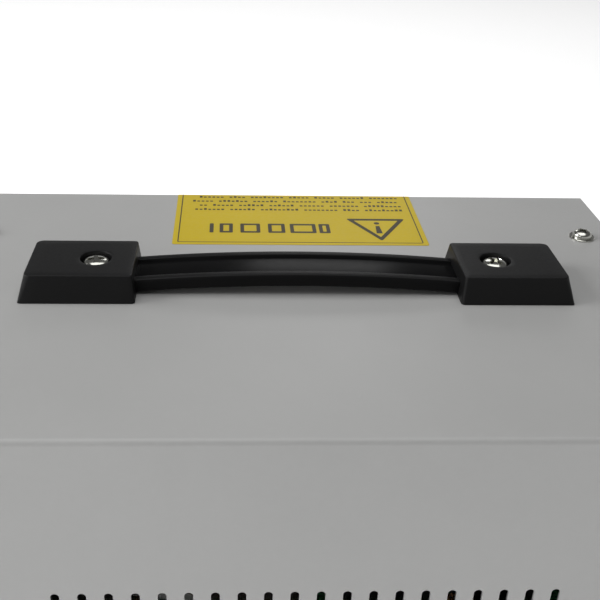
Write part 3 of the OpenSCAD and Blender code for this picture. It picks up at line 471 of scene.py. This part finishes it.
def cap_outline(length, half, inner_r, outer_r):
    """Outline of a cap from its inner face at x = 0, anticlockwise, the same count for any size."""
    per_corner, per_side = 7, 9
    corners = [(length, half, outer_r, 0), (0, half, inner_r, 90),
               (0, -half, inner_r, 180), (length, -half, outer_r, 270)]
    points = []
    for x, y, r, start in corners:
        cx = x - r if x > length / 2 else x + r
        cy = y - r if y > 0 else y + r
        for i in range(per_corner):
            a = math.radians(start + 90 * i / (per_corner - 1))
            points.append(Vector((cx + r * math.cos(a), cy + r * math.sin(a))))
    filled = []
    for i, p in enumerate(points):
        filled.append(p)
        if i % per_corner == per_corner - 1:
            following = points[(i + 1) % len(points)]
            filled += [p.lerp(following, k / per_side) for k in range(1, per_side)]
    return filled


def cap_mesh(side):
    """End cap with tapered sides and softened edges, and a sunk hole for its screw."""
    low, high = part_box("handle_cap_front" if side > 0 else "handle_cap_rear")
    length, half, height = high.x - low.x, (high.y - low.y) / 2, high.z - low.z
    taper, inner_taper = 2.7 * MM, 1 * MM
    edge, foot_edge, rim_edge, floor_edge = 0.4 * MM, 0.25 * MM, 0.35 * MM, 0.2 * MM
    hole_x, hole_r = 16.5 * MM, 2.75 * MM
    recess_r, recess_floor = 6.2 * MM, height - 3.8 * MM

    def outline(inset, share):
        """Outline of the cap, drawn in by inset, at a share of the way up the taper."""
        x0 = inner_taper * share + inset
        x1 = length - taper * share - inset
        corner_r = (1 + 1.6 * share) * MM
        flat = cap_outline(x1 - x0, half - taper * share - inset, 1.3 * MM, corner_r)
        return [Vector((p.x + x0, p.y)) for p in flat]

    def circle_like(points, radius):
        """The points moved to a circle about the screw's hole, each along its own direction."""
        centre = Vector((hole_x, 0))
        return [centre + (p - centre).normalized() * radius for p in points]

    base = outline(0, 0)
    levels = [(circle_like(base, hole_r), 0.0), (outline(foot_edge, 0), 0.0), (base, foot_edge)]
    for share in (0.25, 0.5, 0.75):
        levels.append((outline(0, share), foot_edge + (height - edge - foot_edge) * share))
    for a in quarter(4):
        levels.append((outline(edge * (1 - math.cos(a)), 1), height - edge + edge * math.sin(a)))
    rim = levels[-1][0]
    wide = circle_like(rim, recess_r + rim_edge)
    for share in (0.3, 0.65, 0.9):
        levels.append(([p.lerp(q, share) for p, q in zip(rim, wide)], height))
    for a in quarter(3):
        levels.append((circle_like(rim, recess_r + rim_edge * (1 - math.sin(a))),
                       height - rim_edge * (1 - math.cos(a))))
    for radius, level in ((recess_r, recess_floor + floor_edge), (recess_r - floor_edge, recess_floor),
                          (hole_r, recess_floor), (hole_r, 0.0)):
        levels.append((circle_like(rim, radius), level))
    bm = bmesh.new()
    rings = [[Vector((side * (CAP_INNER_X + p.x), HANDLE_Y + p.y, TOP_Z + z)) for p in ring]
             for ring, z in levels]
    skin(bm, rings, closed_ends=False)
    return bm


# The strap: its height over the case at the caps, its rise by the middle, its thickness, and the
# raised rim that runs along each side of its sunk channel
STRAP_LOW = 1 * MM
STRAP_RISE = 2.7 * MM
STRAP_T = 5.4 * MM
STRAP_RIM = 4 * MM
STRAP_CHANNEL = 1.2 * MM


def strap_section(half):
    """Outline of the strap across its length, as (y, z, in the channel). It starts at the bottom."""
    points = []

    def arc(y, z, r, start, end, steps=5):
        for i in range(steps + 1):
            a = math.radians(start + (end - start) * i / steps)
            points.append((y + r * math.cos(a), z + r * math.sin(a), False))

    low_r, top_r, rim_r = 0.9 * MM, 1.1 * MM, 0.6 * MM
    arc(half - low_r, low_r, low_r, 270, 360)
    arc(half - top_r, STRAP_T - top_r, top_r, 0, 90)
    inner, channel_z = half - STRAP_RIM, STRAP_T - STRAP_CHANNEL
    arc(inner + 0.9 * MM, STRAP_T - rim_r, rim_r, 90, 150, 3)
    points.append((inner + 0.2 * MM, channel_z + 0.15 * MM, True))
    crown, across = 0.18 * MM, 9
    for i in range(across):
        t = 1 - i / 4
        points.append((t * (inner - 0.3 * MM), channel_z + crown * (1 - t * t), True))
    for y, z, inside in reversed(points[:-across]):
        points.append((-y, z, inside))
    return points


def strap_half(name, side, replaced):
    """Half of the strap, from inside a cap to the middle, arched up toward the middle."""
    low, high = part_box("handle_grip")
    section = strap_section((high.y - low.y) / 2)
    inside_cap, steps = 1.2 * MM, 44
    root = CAP_INNER_X + inside_cap
    rings = []
    for i in range(steps + 1):
        x = root * (1 - i / steps)
        t = min(x / CAP_INNER_X, 1)
        z0 = TOP_Z + STRAP_LOW + STRAP_RISE * (1 - t * t)
        rings.append([Vector((side * x, HANDLE_Y + y, z0 + z)) for y, z, _ in section])
    bm = bmesh.new()
    faces = skin(bm, rings)
    count = len(section)
    for i, face in enumerate(faces):
        k = i % count
        face.material_index = int(section[k][2] and section[(k + 1) % count][2])
    piece = make_object(name, bm, "strap_vinyl", 50, body=None)
    piece.data.materials.append(MATERIAL["strap_gloss"])
    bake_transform(piece)
    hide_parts(*replaced)


def make_handle():
    make_object("cap_front", cap_mesh(1), "handle_plastic", 30, replaces=("handle_cap_front",))
    make_object("cap_rear", cap_mesh(-1), "handle_plastic", 30, replaces=("handle_cap_rear",))
    strap_half("strap_front", 1, ("handle_flex_front", "handle_grip"))
    strap_half("strap_rear", -1, ("handle_flex_rear", "handle_grip"))


# ---- Label ----

LABEL_LO, LABEL_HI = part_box("warning_label")
LABEL_X = (LABEL_LO.x + LABEL_HI.x) / 2
LABEL_HALF = (LABEL_HI.x - LABEL_LO.x) / 2
FOLD_R = 2 * MM
LABEL_FLAT = LABEL_HI.y + SIDE_Y - FOLD_R
LABEL_FOLD = FOLD_R * math.pi / 2
LABEL_LENGTH = LABEL_FLAT + LABEL_FOLD + (TOP_Z - FOLD_R - LABEL_LO.z)


def on_label(x, s, height):
    """Place on the label: x from its middle, s from its edge on the top, down over the fold."""
    x += LABEL_X
    if s <= LABEL_FLAT:
        return Vector((x, LABEL_HI.y - s, TOP_Z + height))
    r = FOLD_R + height
    if s <= LABEL_FLAT + LABEL_FOLD:
        a = (s - LABEL_FLAT) / FOLD_R
        return Vector((x, -SIDE_Y + FOLD_R - r * math.sin(a), TOP_Z - FOLD_R + r * math.cos(a)))
    return Vector((x, -SIDE_Y - height, TOP_Z - FOLD_R - (s - LABEL_FLAT - LABEL_FOLD)))


def rounded(points, radius, steps=5):
    """A polygon with each corner rounded."""
    out = []
    count = len(points)
    for i, p in enumerate(points):
        p, a, b = Vector(p), Vector(points[i - 1]), Vector(points[(i + 1) % count])
        before, after = (a - p).normalized(), (b - p).normalized()
        half = before.angle(after) / 2
        reach = radius / math.tan(half)
        centre = p + (before + after).normalized() * (radius / math.sin(half))
        start, end = p + before * reach - centre, p + after * reach - centre
        turn = start.angle_signed(end)
        for k in range(steps + 1):
            out.append(centre + Matrix.Rotation(-turn * k / steps, 2) @ start)
    return out


def rectangle(x0, s0, x1, s1):
    return [(x0, s0), (x1, s0), (x1, s1), (x0, s1)]


def film(name, shapes, low, high, material, replaces=()):
    """Thin film that follows the label: each shape is an outline, or an outer and an inner outline."""
    bm = bmesh.new()
    for shape in shapes:
        if isinstance(shape, tuple):
            outer, inner = [[bm.verts.new((p[0], p[1], 0)) for p in loop] for loop in shape]
            count = len(outer)
            for k in range(count):
                j = (k + 1) % count
                bm.faces.new((outer[k], outer[j], inner[j], inner[k]))
        else:
            bm.faces.new([bm.verts.new((p[0], p[1], 0)) for p in shape])
    cuts = [LABEL_FLAT + LABEL_FOLD * i / 8 for i in range(9)]
    for s in cuts:
        parts = list(bm.verts) + list(bm.edges) + list(bm.faces)
        bmesh.ops.bisect_plane(bm, geom=parts, dist=1e-8, plane_co=(0, s, 0), plane_no=(0, 1, 0))
    grown = bmesh.ops.extrude_face_region(bm, geom=list(bm.faces))["geom"]
    upper = {v for v in grown if isinstance(v, bmesh.types.BMVert)}
    for vert in bm.verts:
        vert.co = on_label(vert.co.x, vert.co.y, high if vert in upper else low)
    return make_object(name, bm, material, 40, replaces=replaces)


def label_border():
    """A line just inside the label's edge."""
    inset, line = 2.2 * MM, 0.5 * MM
    wide, far = LABEL_HALF - inset, LABEL_LENGTH - inset
    return (rounded(rectangle(-wide, inset, wide, far), 0.8 * MM),
            rounded(rectangle(-wide + line, inset + line, wide - line, far - line), 0.4 * MM))


def label_triangle():
    """A plain triangle with a bar and a dot in it, upright as read from the label's own side."""
    cx, tip, base, stroke, half = -36.3 * MM, 4.6 * MM, 28.7 * MM, 2 * MM, 13.8 * MM
    corner = [(cx, tip), (cx + half, base), (cx - half, base)]
    slope = math.hypot(half, base - tip)
    inner_half = half - stroke * (slope + half) / (base - tip)
    inner = [(cx, tip + stroke * slope / half), (cx + inner_half, base - stroke),
             (cx - inner_half, base - stroke)]
    bar_low, bar_high, wide, narrow = 12.6 * MM, 20.6 * MM, 1.4 * MM, 0.9 * MM
    bar = [(cx - wide, bar_low), (cx + wide, bar_low), (cx + narrow, bar_high), (cx - narrow, bar_high)]
    dot_s, dot_r = 23.6 * MM, 1.3 * MM
    dot = [(cx + dot_r * math.cos(a), dot_s + dot_r * math.sin(a)) for a in around(20)]
    return [(rounded(corner, 0.7 * MM), rounded(inner, 0.3 * MM)), bar, dot]


def label_heading():
    """Plain frames where a heading would be, each (start, length) in millimetres."""
    frames = [(-14.1, 5), (-7.7, 11.8), (6.4, 7.7), (17.7, 9), (30.1, 6), (38.8, 1.8)]
    low, high, weight = 12.4 * MM, 22.4 * MM, 1.7 * MM
    shapes = []
    for x, length in frames:
        outer = rounded(rectangle(x * MM, low, (x + length) * MM, high), 0.6 * MM, 3)
        if length * MM < 2 * weight:
            shapes.append(outer)
            continue
        hole = rectangle(x * MM + weight, low + weight, (x + length) * MM - weight, high - weight)
        shapes.append((outer, rounded(hole, 0.3 * MM, 3)))
    return shapes


def label_rows():
    """Rows of plain marks, in groups of a few, where small print would be."""
    rng = random.Random(11)
    mark, between, space = 1.3 * MM, 0.75 * MM, 2.2 * MM
    rows, first_row, row_step = 5, 37.9, 5
    heights = (1.3, 1.3, 1.5, 2.1)
    shapes = []
    for row in range(rows):
        s = (first_row + row_step * row) * MM
        x, end = (-51.5 + 2 * rng.random()) * MM, (51 - 6 * rng.random()) * MM
        while x < end:
            for _ in range(rng.randint(3, 9)):
                if x > end:
                    break
                tall = rng.choice(heights) * MM
                shapes.append(rectangle(x, s, x + mark, s + tall))
                x += mark + between
            x += space
    return shapes


def make_label():
    sheet = rounded(rectangle(-LABEL_HALF, 0, LABEL_HALF, LABEL_LENGTH), 1.2 * MM)
    film("label_sheet", [sheet], 0.01 * MM, 0.12 * MM, "label", ("warning_label",))
    shapes = [label_border()] + label_triangle() + label_heading() + label_rows()
    film("label_print", shapes, 0.125 * MM, 0.145 * MM, "ink")


# ---- Fan ----

def make_guard(hole):
    """Wire guard: rings about the fan's hole, and a spoke to an eye round each screw."""
    low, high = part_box("fan_guard")
    wire = 0.8 * MM
    rings, first, step = 6, 10.4 * MM - wire, 6.4 * MM
    front_x = low.x + wire
    bm = bmesh.new()
    for i in range(rings):
        r = first + i * step
        points = [(front_x, hole.y + r * math.cos(a), hole.z + r * math.sin(a)) for a in around(72)]
        tube(bm, points, wire, 10, closed=True)
    eye_r, spoke_in, spoke_out = 3.1 * MM, 6 * MM, 7 * MM
    spoke_x = front_x + wire * 1.5
    for eye_low, eye_high in solid_boxes("fan_screws"):
        eye = (eye_low + eye_high) / 2
        out = Vector((0, eye.y - hole.y, eye.z - hole.z))
        direction = out.normalized()
        side = direction.cross(Vector((1, 0, 0)))
        start = Vector((spoke_x, hole.y, hole.z)) + direction * spoke_in
        bend = Vector((spoke_x, hole.y, hole.z)) + direction * (out.length - spoke_out)
        points = [start, start.lerp(bend, 0.5), bend]
        centre = Vector((high.x - wire, eye.y, eye.z))
        for k in range(25):
            a = 2 * math.pi * k / 24
            points.append(centre - direction * eye_r * math.cos(a) + side * eye_r * math.sin(a))
        tube(bm, points, wire, 10)
    make_object("fan_guard_wires", bm, "zinc", 60, replaces=("fan_guard",))


def make_rotor(hole):
    """Cup-shaped hub with a post inside, and seven blades, each thick in the middle and cambered."""
    low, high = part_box("fan_rotor")
    axis_x, hub_r, hub_l = low.x, 16 * MM, 18 * MM
    tip_r = (high.y - low.y) / 2
    step, edge, wall, floor, post_r = 0.3 * MM, 1.6 * MM, 2 * MM, 3 * MM, 1.5 * MM
    bm = bmesh.new()
    profile = [(0, 0), (hub_r * 0.55, 0), (hub_r * 0.6, step), (hub_r - edge, step)]
    profile += [(hub_r - edge * (1 - math.sin(a)), step + edge * (1 - math.cos(a)))
                for a in quarter(5)[1:]]
    profile += [(hub_r, hub_l), (hub_r - wall, hub_l), (hub_r - wall, floor), (post_r, floor),
                (post_r, hub_l + 1 * MM), (0, hub_l + 1 * MM)]
    lathe(bm, profile, (axis_x, hole.y, hole.z), (1, 0, 0), 64)
    blades, across, along = 7, 10, 10
    for b in range(blades):
        faces = []
        for lift in (0.0, 1.0):
            grid = []
            for i in range(across + 1):
                share = i / across
                r = hub_r - 0.4 * MM + (tip_r - 0.3 * MM - hub_r) * share
                sweep = math.radians(b * 360 / blades + 14 * share * share)
                chord = math.radians(46 - 8 * share)
                row = []
                for j in range(along + 1):
                    t = j / along
                    a = sweep + chord * (t - 0.5)
                    camber = math.sin(math.pi * t) * 1.3 * MM
                    thick = (0.5 + 0.9 * math.sin(math.pi * min(t + 0.15, 1))) * MM * lift
                    x = 1.5 * MM + (hub_l - 4 * MM) * t - camber + thick
                    row.append((axis_x + x, hole.y + r * math.cos(a), hole.z + r * math.sin(a)))
                grid.append(row)
            faces.append(grid)
        bottom, top = faces
        skin(bm, [bottom[i] + top[i][::-1] for i in range(across + 1)])
    make_object("fan_rotor_bladed", bm, "fan_plastic", 35, "fan", replaces=("fan_rotor",))


def make_fan():
    hole = middle("fan_rotor")
    make_guard(hole)
    make_rotor(hole)


# ---- Front panel ----

SEGMENTS = {"0": "abcdef", "2": "abdeg", "3": "abcdg", "5": "acdfg"}


def flat_shapes(name, polygons, x, thick, material):
    """Thin flat shapes on a plane square to X: each polygon is a list of (y, z)."""
    bm = bmesh.new()
    for polygon in polygons:
        skin(bm, [[(x + dx, y, z) for y, z in polygon] for dx in (0, thick)])
    return make_object(name, bm, material, 30)


def digits(text, y, z, size):
    """Seven-segment digits as bars, from left to right as seen from in front of the panel."""
    shapes = []
    w, h, t, pitch, slant = size * 0.55, size, size * 0.11, size * 0.85, 0.12
    bars = {"a": (0, h, w, h), "g": (0, h / 2, w, h / 2), "d": (0, 0, w, 0), "f": (0, h / 2, 0, h),
            "e": (0, 0, 0, h / 2), "b": (w, h / 2, w, h), "c": (w, 0, w, h / 2)}
    for i, mark in enumerate(text):
        for key in SEGMENTS[mark]:
            x0, z0, x1, z1 = bars[key]
            along = Vector((x1 - x0, z1 - z0)).normalized()
            across = Vector((-along.y, along.x)) * t / 2
            a = Vector((x0, z0)) + along * t * 0.62
            b = Vector((x1, z1)) - along * t * 0.62
            hexagon = [a + across, a - along * t / 2, a - across,
                       b - across, b + along * t / 2, b + across]
            shapes.append([(y + i * pitch + p.x + p.y * slant, z + p.y) for p in hexagon])
    return shapes


def ring_shape(y, z, r, width, start=0, end=360, steps=32):
    """A ring, or part of one, as quads."""
    shapes = []
    for k in range(steps):
        a, b = [math.radians(start + (end - start) * (k + d) / steps) for d in (0, 1)]
        shapes.append([(y + q * math.cos(c), z + q * math.sin(c))
                       for q, c in ((r, a), (r + width, a), (r + width, b), (r, b))])
    return shapes


def make_display():
    """Lit display behind the window: numbers, a battery with level bars, and a row of load bars."""
    low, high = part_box("display_window")
    border, sheet = 4.5 * MM, 0.4 * MM
    y0, z0, y1, z1 = low.y + border, low.z + border, high.y - border, high.z - border
    back_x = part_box("display_module")[1].x - 1 * MM
    flat_shapes("display_glass", [rectangle(y0, z0, y1, z1)], back_x, sheet, "backlight")
    shapes = digits("230", y0 + 6 * MM, z0 + 7 * MM, 12 * MM)
    shapes += digits("50", y0 + 44 * MM, z0 + 12 * MM, 7 * MM)
    by, bz = y0 + 60 * MM, z0 + 11.5 * MM
    bw, bh, t, tip_in, tip_l = 14 * MM, 8 * MM, 0.6 * MM, 2.5 * MM, 1.2 * MM
    shapes += [rectangle(by, bz, by + bw, bz + t), rectangle(by, bz + bh - t, by + bw, bz + bh),
               rectangle(by, bz + t, by + t, bz + bh - t),
               rectangle(by + bw - t, bz + t, by + bw, bz + bh - t),
               rectangle(by + bw, bz + tip_in, by + bw + tip_l, bz + bh - tip_in)]
    level_in, level_w, level_step = 1.6, 2.2, 3
    for i in range(4):
        y = by + (level_in + level_step * i) * MM
        shapes.append(rectangle(y, bz + level_in * MM, y + level_w * MM, bz + bh - level_in * MM))
    load_w, load_step = 2.2, 3.2
    for i in range(10):
        y = y0 + (44 + load_step * i) * MM
        shapes.append(rectangle(y, z0 + 3.5 * MM, y + load_w * MM, z0 + 7 * MM))
    flat_shapes("display_segments", shapes, back_x + sheet, 0.05 * MM, "segment")


PRINT_T = 0.04 * MM


def make_panel_print():
    """Plain symbols: a power ring and two arrows under the buttons, a line and a ring by the switch,
    a frame round the display, and a wave over each outlet."""
    shapes = []
    under, arrow_back, arrow_tip = 11.5 * MM, 2 * MM, 2.2 * MM
    c = middle("button_power")
    z = c.z - under
    shapes += ring_shape(c.y, z, 2 * MM, 0.5 * MM, 125, 415)
    shapes.append(rectangle(c.y - 0.25 * MM, z + 0.6 * MM, c.y + 0.25 * MM, z + 3 * MM))
    for name, way in (("button_left", -1), ("button_right", 1)):
        c = middle(name)
        z = c.z - under
        shapes.append([(c.y - arrow_back * way, z - arrow_back), (c.y + arrow_tip * way, z),
                       (c.y - arrow_back * way, z + arrow_back)])
    switch = middle("switch_frame")
    low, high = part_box("switch_frame")
    shapes.append(rectangle(switch.y - 0.4 * MM, high.z + 3 * MM, switch.y + 0.4 * MM, high.z + 7 * MM))
    shapes += ring_shape(switch.y, low.z - 5 * MM, 1.6 * MM, 0.7 * MM)
    low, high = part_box("display_window")
    rim, line = 1.2 * MM, 0.5 * MM
    y0, z0, y1, z1 = low.y - rim, low.z - rim, high.y + rim, high.z + rim
    shapes += [rectangle(y0, z0 - line, y1, z0), rectangle(y0, z1, y1, z1 + line),
               rectangle(y0 - line, z0 - line, y0, z1 + line),
               rectangle(y1, z0 - line, y1 + line, z1 + line)]
    wave_l, wave_high, wave_up, half_line = 8, 1.4 * MM, 4.5 * MM, 0.25 * MM
    for shell in ("outlet_left_shell", "outlet_right_shell"):
        low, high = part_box(shell)
        c = (low.y + high.y) / 2
        wave = [(c + wave_l * (k / 24 - 0.5) * MM,
                 high.z + wave_up + wave_high * math.sin(2 * math.pi * k / 24)) for k in range(25)]
        for a, b in zip(wave, wave[1:]):
            shapes.append([(a[0], a[1] - half_line), (b[0], b[1] - half_line),
                           (b[0], b[1] + half_line), (a[0], a[1] + half_line)])
    flat_shapes("panel_print", shapes, FACE_X, PRINT_T, "print_white")


def make_rear_print():
    """Plus and minus beside the terminals, and an earth sign: plain symbols on the rear wall."""
    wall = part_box("chassis")[0].x
    shapes = []
    arm, half_line = 3 * MM, 0.5 * MM
    for name, plus in (("knob_red", True), ("knob_black", False)):
        c = middle(name)
        z = c.z - 18 * MM
        shapes.append(rectangle(c.y - arm, z - half_line, c.y + arm, z + half_line))
        if plus:
            shapes.append(rectangle(c.y - half_line, z + half_line, c.y + half_line, z + arm))
            shapes.append(rectangle(c.y - half_line, z - arm, c.y + half_line, z - half_line))
    earth = middle("earth_screw")
    z = earth.z - 12 * MM
    shapes.append(rectangle(earth.y - 0.3 * MM, z, earth.y + 0.3 * MM, z + 2.6 * MM))
    for i in range(3):
        half = (3 - i) * MM
        shapes.append(rectangle(earth.y - half, z - (0.5 + 1.2 * i) * MM, earth.y + half, z - 1.2 * i * MM))
    flat_shapes("rear_print", shapes, wall - PRINT_T, PRINT_T, "ink")


# ---- Turned parts ----

def make_feet():
    """Round rubber feet that narrow downward, each with a sunk hole for its screw."""
    hole_r, recess_r, edge, recess_edge = 2.25 * MM, 5.4 * MM, 0.8 * MM, 0.3 * MM
    bm = bmesh.new()
    for low, high in solid_boxes("rubber_feet"):
        c = (low + high) / 2
        top_r, height = (high.x - low.x) / 2, high.z - low.z
        base_r, floor = top_r - 1.5 * MM, height / 2
        profile = [(hole_r, floor), (recess_r - recess_edge, floor), (recess_r, floor - recess_edge),
                   (recess_r, recess_edge), (recess_r + recess_edge, 0)]
        profile += [(base_r - edge + edge * math.sin(a), edge * (1 - math.cos(a))) for a in quarter(5)]
        profile += [(top_r - 0.4 * MM, height - 1.2 * MM), (top_r, height - 0.8 * MM), (top_r, height),
                    (hole_r, height), (hole_r, floor)]
        turned = [[Vector((c.x + r * math.cos(a), c.y + r * math.sin(a), low.z + z)) for a in around(56)]
                  for r, z in profile]
        skin(bm, turned, closed_ends=False)
    make_object("feet_moulded", bm, "rubber", 40, replaces=("rubber_feet",))


def winding(bm, low, high, axis, turns, depth, hole_r):
    """Ring wound with wire: its outline swells and sinks once for each turn of wire."""
    c = (low + high) / 2
    outer = (high - low)[(axis + 1) % 3] / 2
    height = (high - low)[axis]
    r = min((outer - hole_r), height) * 0.22
    corners = [(hole_r + r, height / 2 - r, 90), (hole_r + r, -height / 2 + r, 180),
               (outer - r, -height / 2 + r, 270), (outer - r, height / 2 - r, 0)]
    profile = []
    for x, z, start in corners:
        for k in range(6):
            a = math.radians(start + 90 * k / 5)
            nx, nz = math.cos(a), math.sin(a)
            profile.append((x + (r - depth) * nx, z + (r - depth) * nz, nx, nz))
    direction = Vector([1.0 if i == axis else 0.0 for i in range(3)])
    turn = Vector((0, 0, 1)).rotation_difference(direction).to_matrix()
    steps = turns * 6
    rings = []
    for k in range(steps + 1):
        a = 2 * math.pi * (k % steps) / steps
        swell = depth * abs(math.cos(math.pi * k / 6))
        ring = []
        for x, z, nx, nz in profile:
            out = x + nx * swell
            ring.append(c + turn @ Vector((out * math.cos(a), out * math.sin(a), z + nz * swell)))
        rings.append(ring)
    skin(bm, rings, closed_ends=False)


def make_coils():
    """The two wound rings: (piece, CAD node, axis, turns of wire, depth of a turn, hole's radius)."""
    for piece, node, axis, turns, depth, hole_r in (
            ("transformer_wound", "transformer", 2, 120, 0.7 * MM, 18 * MM),
            ("choke_wound", "output_choke", 1, 44, 0.4 * MM, 5 * MM)):
        bm = bmesh.new()
        winding(bm, *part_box(node), axis, turns, depth, hole_r)
        make_object(piece, bm, "copper", 70, replaces=(node,))


# ---- CAD nodes that stay ----

def finish_cad_nodes():
    """Gives every CAD node the material of its slot."""
    slot_of = {row["node"]: row["material_slot"] for row in frame["record"]["subparts"]}
    for name, node in frame["nodes"].items():
        node.data.materials.clear()
        node.data.materials.append(MATERIAL[slot_of[name]])


# ---- Camera, lights and floor ----

CAMERA_FROM_TOP = (27.0, 327.1, 174.4)
CAMERA_TURN = (2.83, 28.72, 1.56)
CAMERA_LENS, CAMERA_SENSOR, CAMERA_SHIFT = 55.74, 36, 0.05

# Each light's place, its two sizes in metres, and its watts. All face the middle of the case's top.
LIGHTS = {
    "over_front": ((0.25, 0.75, 1.45), (1.1, 0.5), 1.5),
    "back": ((-0.19, -1.53, 0.94), (0.42, 0.3), 1.1),
    "front": ((0.8, 0.85, 0.5), (0.5, 0.5), 1.6),
    "left": ((1.5, 0.0, 0.9), (0.9, 0.9), 20),
    "overhead": ((0.0, -0.1, 1.8), (1.6, 1.6), 16),
}

# World grey at and below the low level, and at and above the high one, of an upward direction's Z
WORLD_LOW, WORLD_LOW_GREY = 0.1, 0.6
WORLD_HIGH, WORLD_HIGH_GREY = 0.42, 0.12

FLOOR_REACH, FLOOR_GREY, FLOOR_GLOW = 6.0, 0.95, 0.4


def make_camera():
    """The photographer's place, in millimetres from the middle of the case's top: above and beside
    the +Y long side. Yaw, pitch and roll are in degrees, and the lens is shifted a little."""
    yaw, pitch, roll = [math.radians(v) for v in CAMERA_TURN]
    forward = Vector((-math.sin(yaw) * math.cos(pitch), -math.cos(yaw) * math.cos(pitch), -math.sin(pitch)))
    level = Vector((-math.cos(yaw), math.sin(yaw), 0))
    up = level.cross(forward)
    right = math.cos(roll) * level + math.sin(roll) * up
    above = -math.sin(roll) * level + math.cos(roll) * up
    camera = bpy.data.objects.new("camera", bpy.data.cameras.new("camera"))
    bpy.context.scene.collection.objects.link(camera)
    turn = Matrix((right, above, -forward)).transposed().to_4x4()
    place = Vector((0, 0, TOP_Z)) + Vector(CAMERA_FROM_TOP) * MM
    camera.matrix_world = Matrix.Translation(place) @ turn
    camera.data.sensor_width = CAMERA_SENSOR
    camera.data.lens = CAMERA_LENS
    camera.data.shift_x = CAMERA_SHIFT
    camera.data.clip_start = 0.01
    camera.data.clip_end = 50
    bpy.context.scene.camera = camera


def area_light(name, place, target, size, watts):
    light = bpy.data.lights.new(name, "AREA")
    light.shape = "RECTANGLE"
    light.size, light.size_y = size
    light.energy = watts
    lamp = bpy.data.objects.new(name, light)
    bpy.context.scene.collection.objects.link(lamp)
    lamp.location = place
    lamp.rotation_mode = "QUATERNION"
    lamp.rotation_quaternion = (Vector(target) - Vector(place)).to_track_quat("-Z", "Y")


def make_world():
    """Grey surroundings, brightest in a low band all round and dimmer overhead."""
    world = bpy.data.worlds.new("studio")
    world.use_nodes = True
    nodes, links = world.node_tree.nodes, world.node_tree.links
    split = nodes.new("ShaderNodeSeparateXYZ")
    links.new(nodes.new("ShaderNodeTexCoord").outputs["Generated"], split.inputs["Vector"])
    ramp = nodes.new("ShaderNodeValToRGB")
    low, high = ramp.color_ramp.elements
    low.position, high.position = WORLD_LOW, WORLD_HIGH
    low.color = (WORLD_LOW_GREY,) * 3 + (1,)
    high.color = (WORLD_HIGH_GREY,) * 3 + (1,)
    links.new(split.outputs["Z"], ramp.inputs["Fac"])
    links.new(ramp.outputs["Color"], nodes["Background"].inputs["Color"])
    nodes["Background"].inputs["Strength"].default_value = 1.0
    bpy.context.scene.world = world


def make_floor():
    """White paper under the object, which glows a little so that it stays white in the shade."""
    bm = bmesh.new()
    reach = FLOOR_REACH
    skin(bm, [[(-reach, y, 0), (reach, y, 0)] for y in (-reach, reach)],
         closed_ends=False, ring_closed=False)
    mesh = bpy.data.meshes.new("floor")
    bm.to_mesh(mesh)
    bm.free()
    floor = bpy.data.objects.new("floor", mesh)
    bpy.context.scene.collection.objects.link(floor)
    paper = surface("floor", (FLOOR_GREY,) * 3, 0.8, mottle=0.01, patch=4)
    shader = paper.node_tree.nodes["Principled BSDF"]
    shader.inputs["Emission Color"].default_value = (1, 1, 1, 1)
    shader.inputs["Emission Strength"].default_value = FLOOR_GLOW
    mesh.materials.append(paper)


def make_studio():
    make_world()
    bpy.context.scene.view_settings.view_transform = "Standard"
    for name, (place, size, watts) in LIGHTS.items():
        area_light(name, place, (0, 0, TOP_Z), size, watts)
    make_floor()


make_camera()
make_studio()
finish_cad_nodes()
make_screws()
make_handle()
make_label()
make_fan()
make_display()
make_panel_print()
make_rear_print()
make_feet()
make_coils()
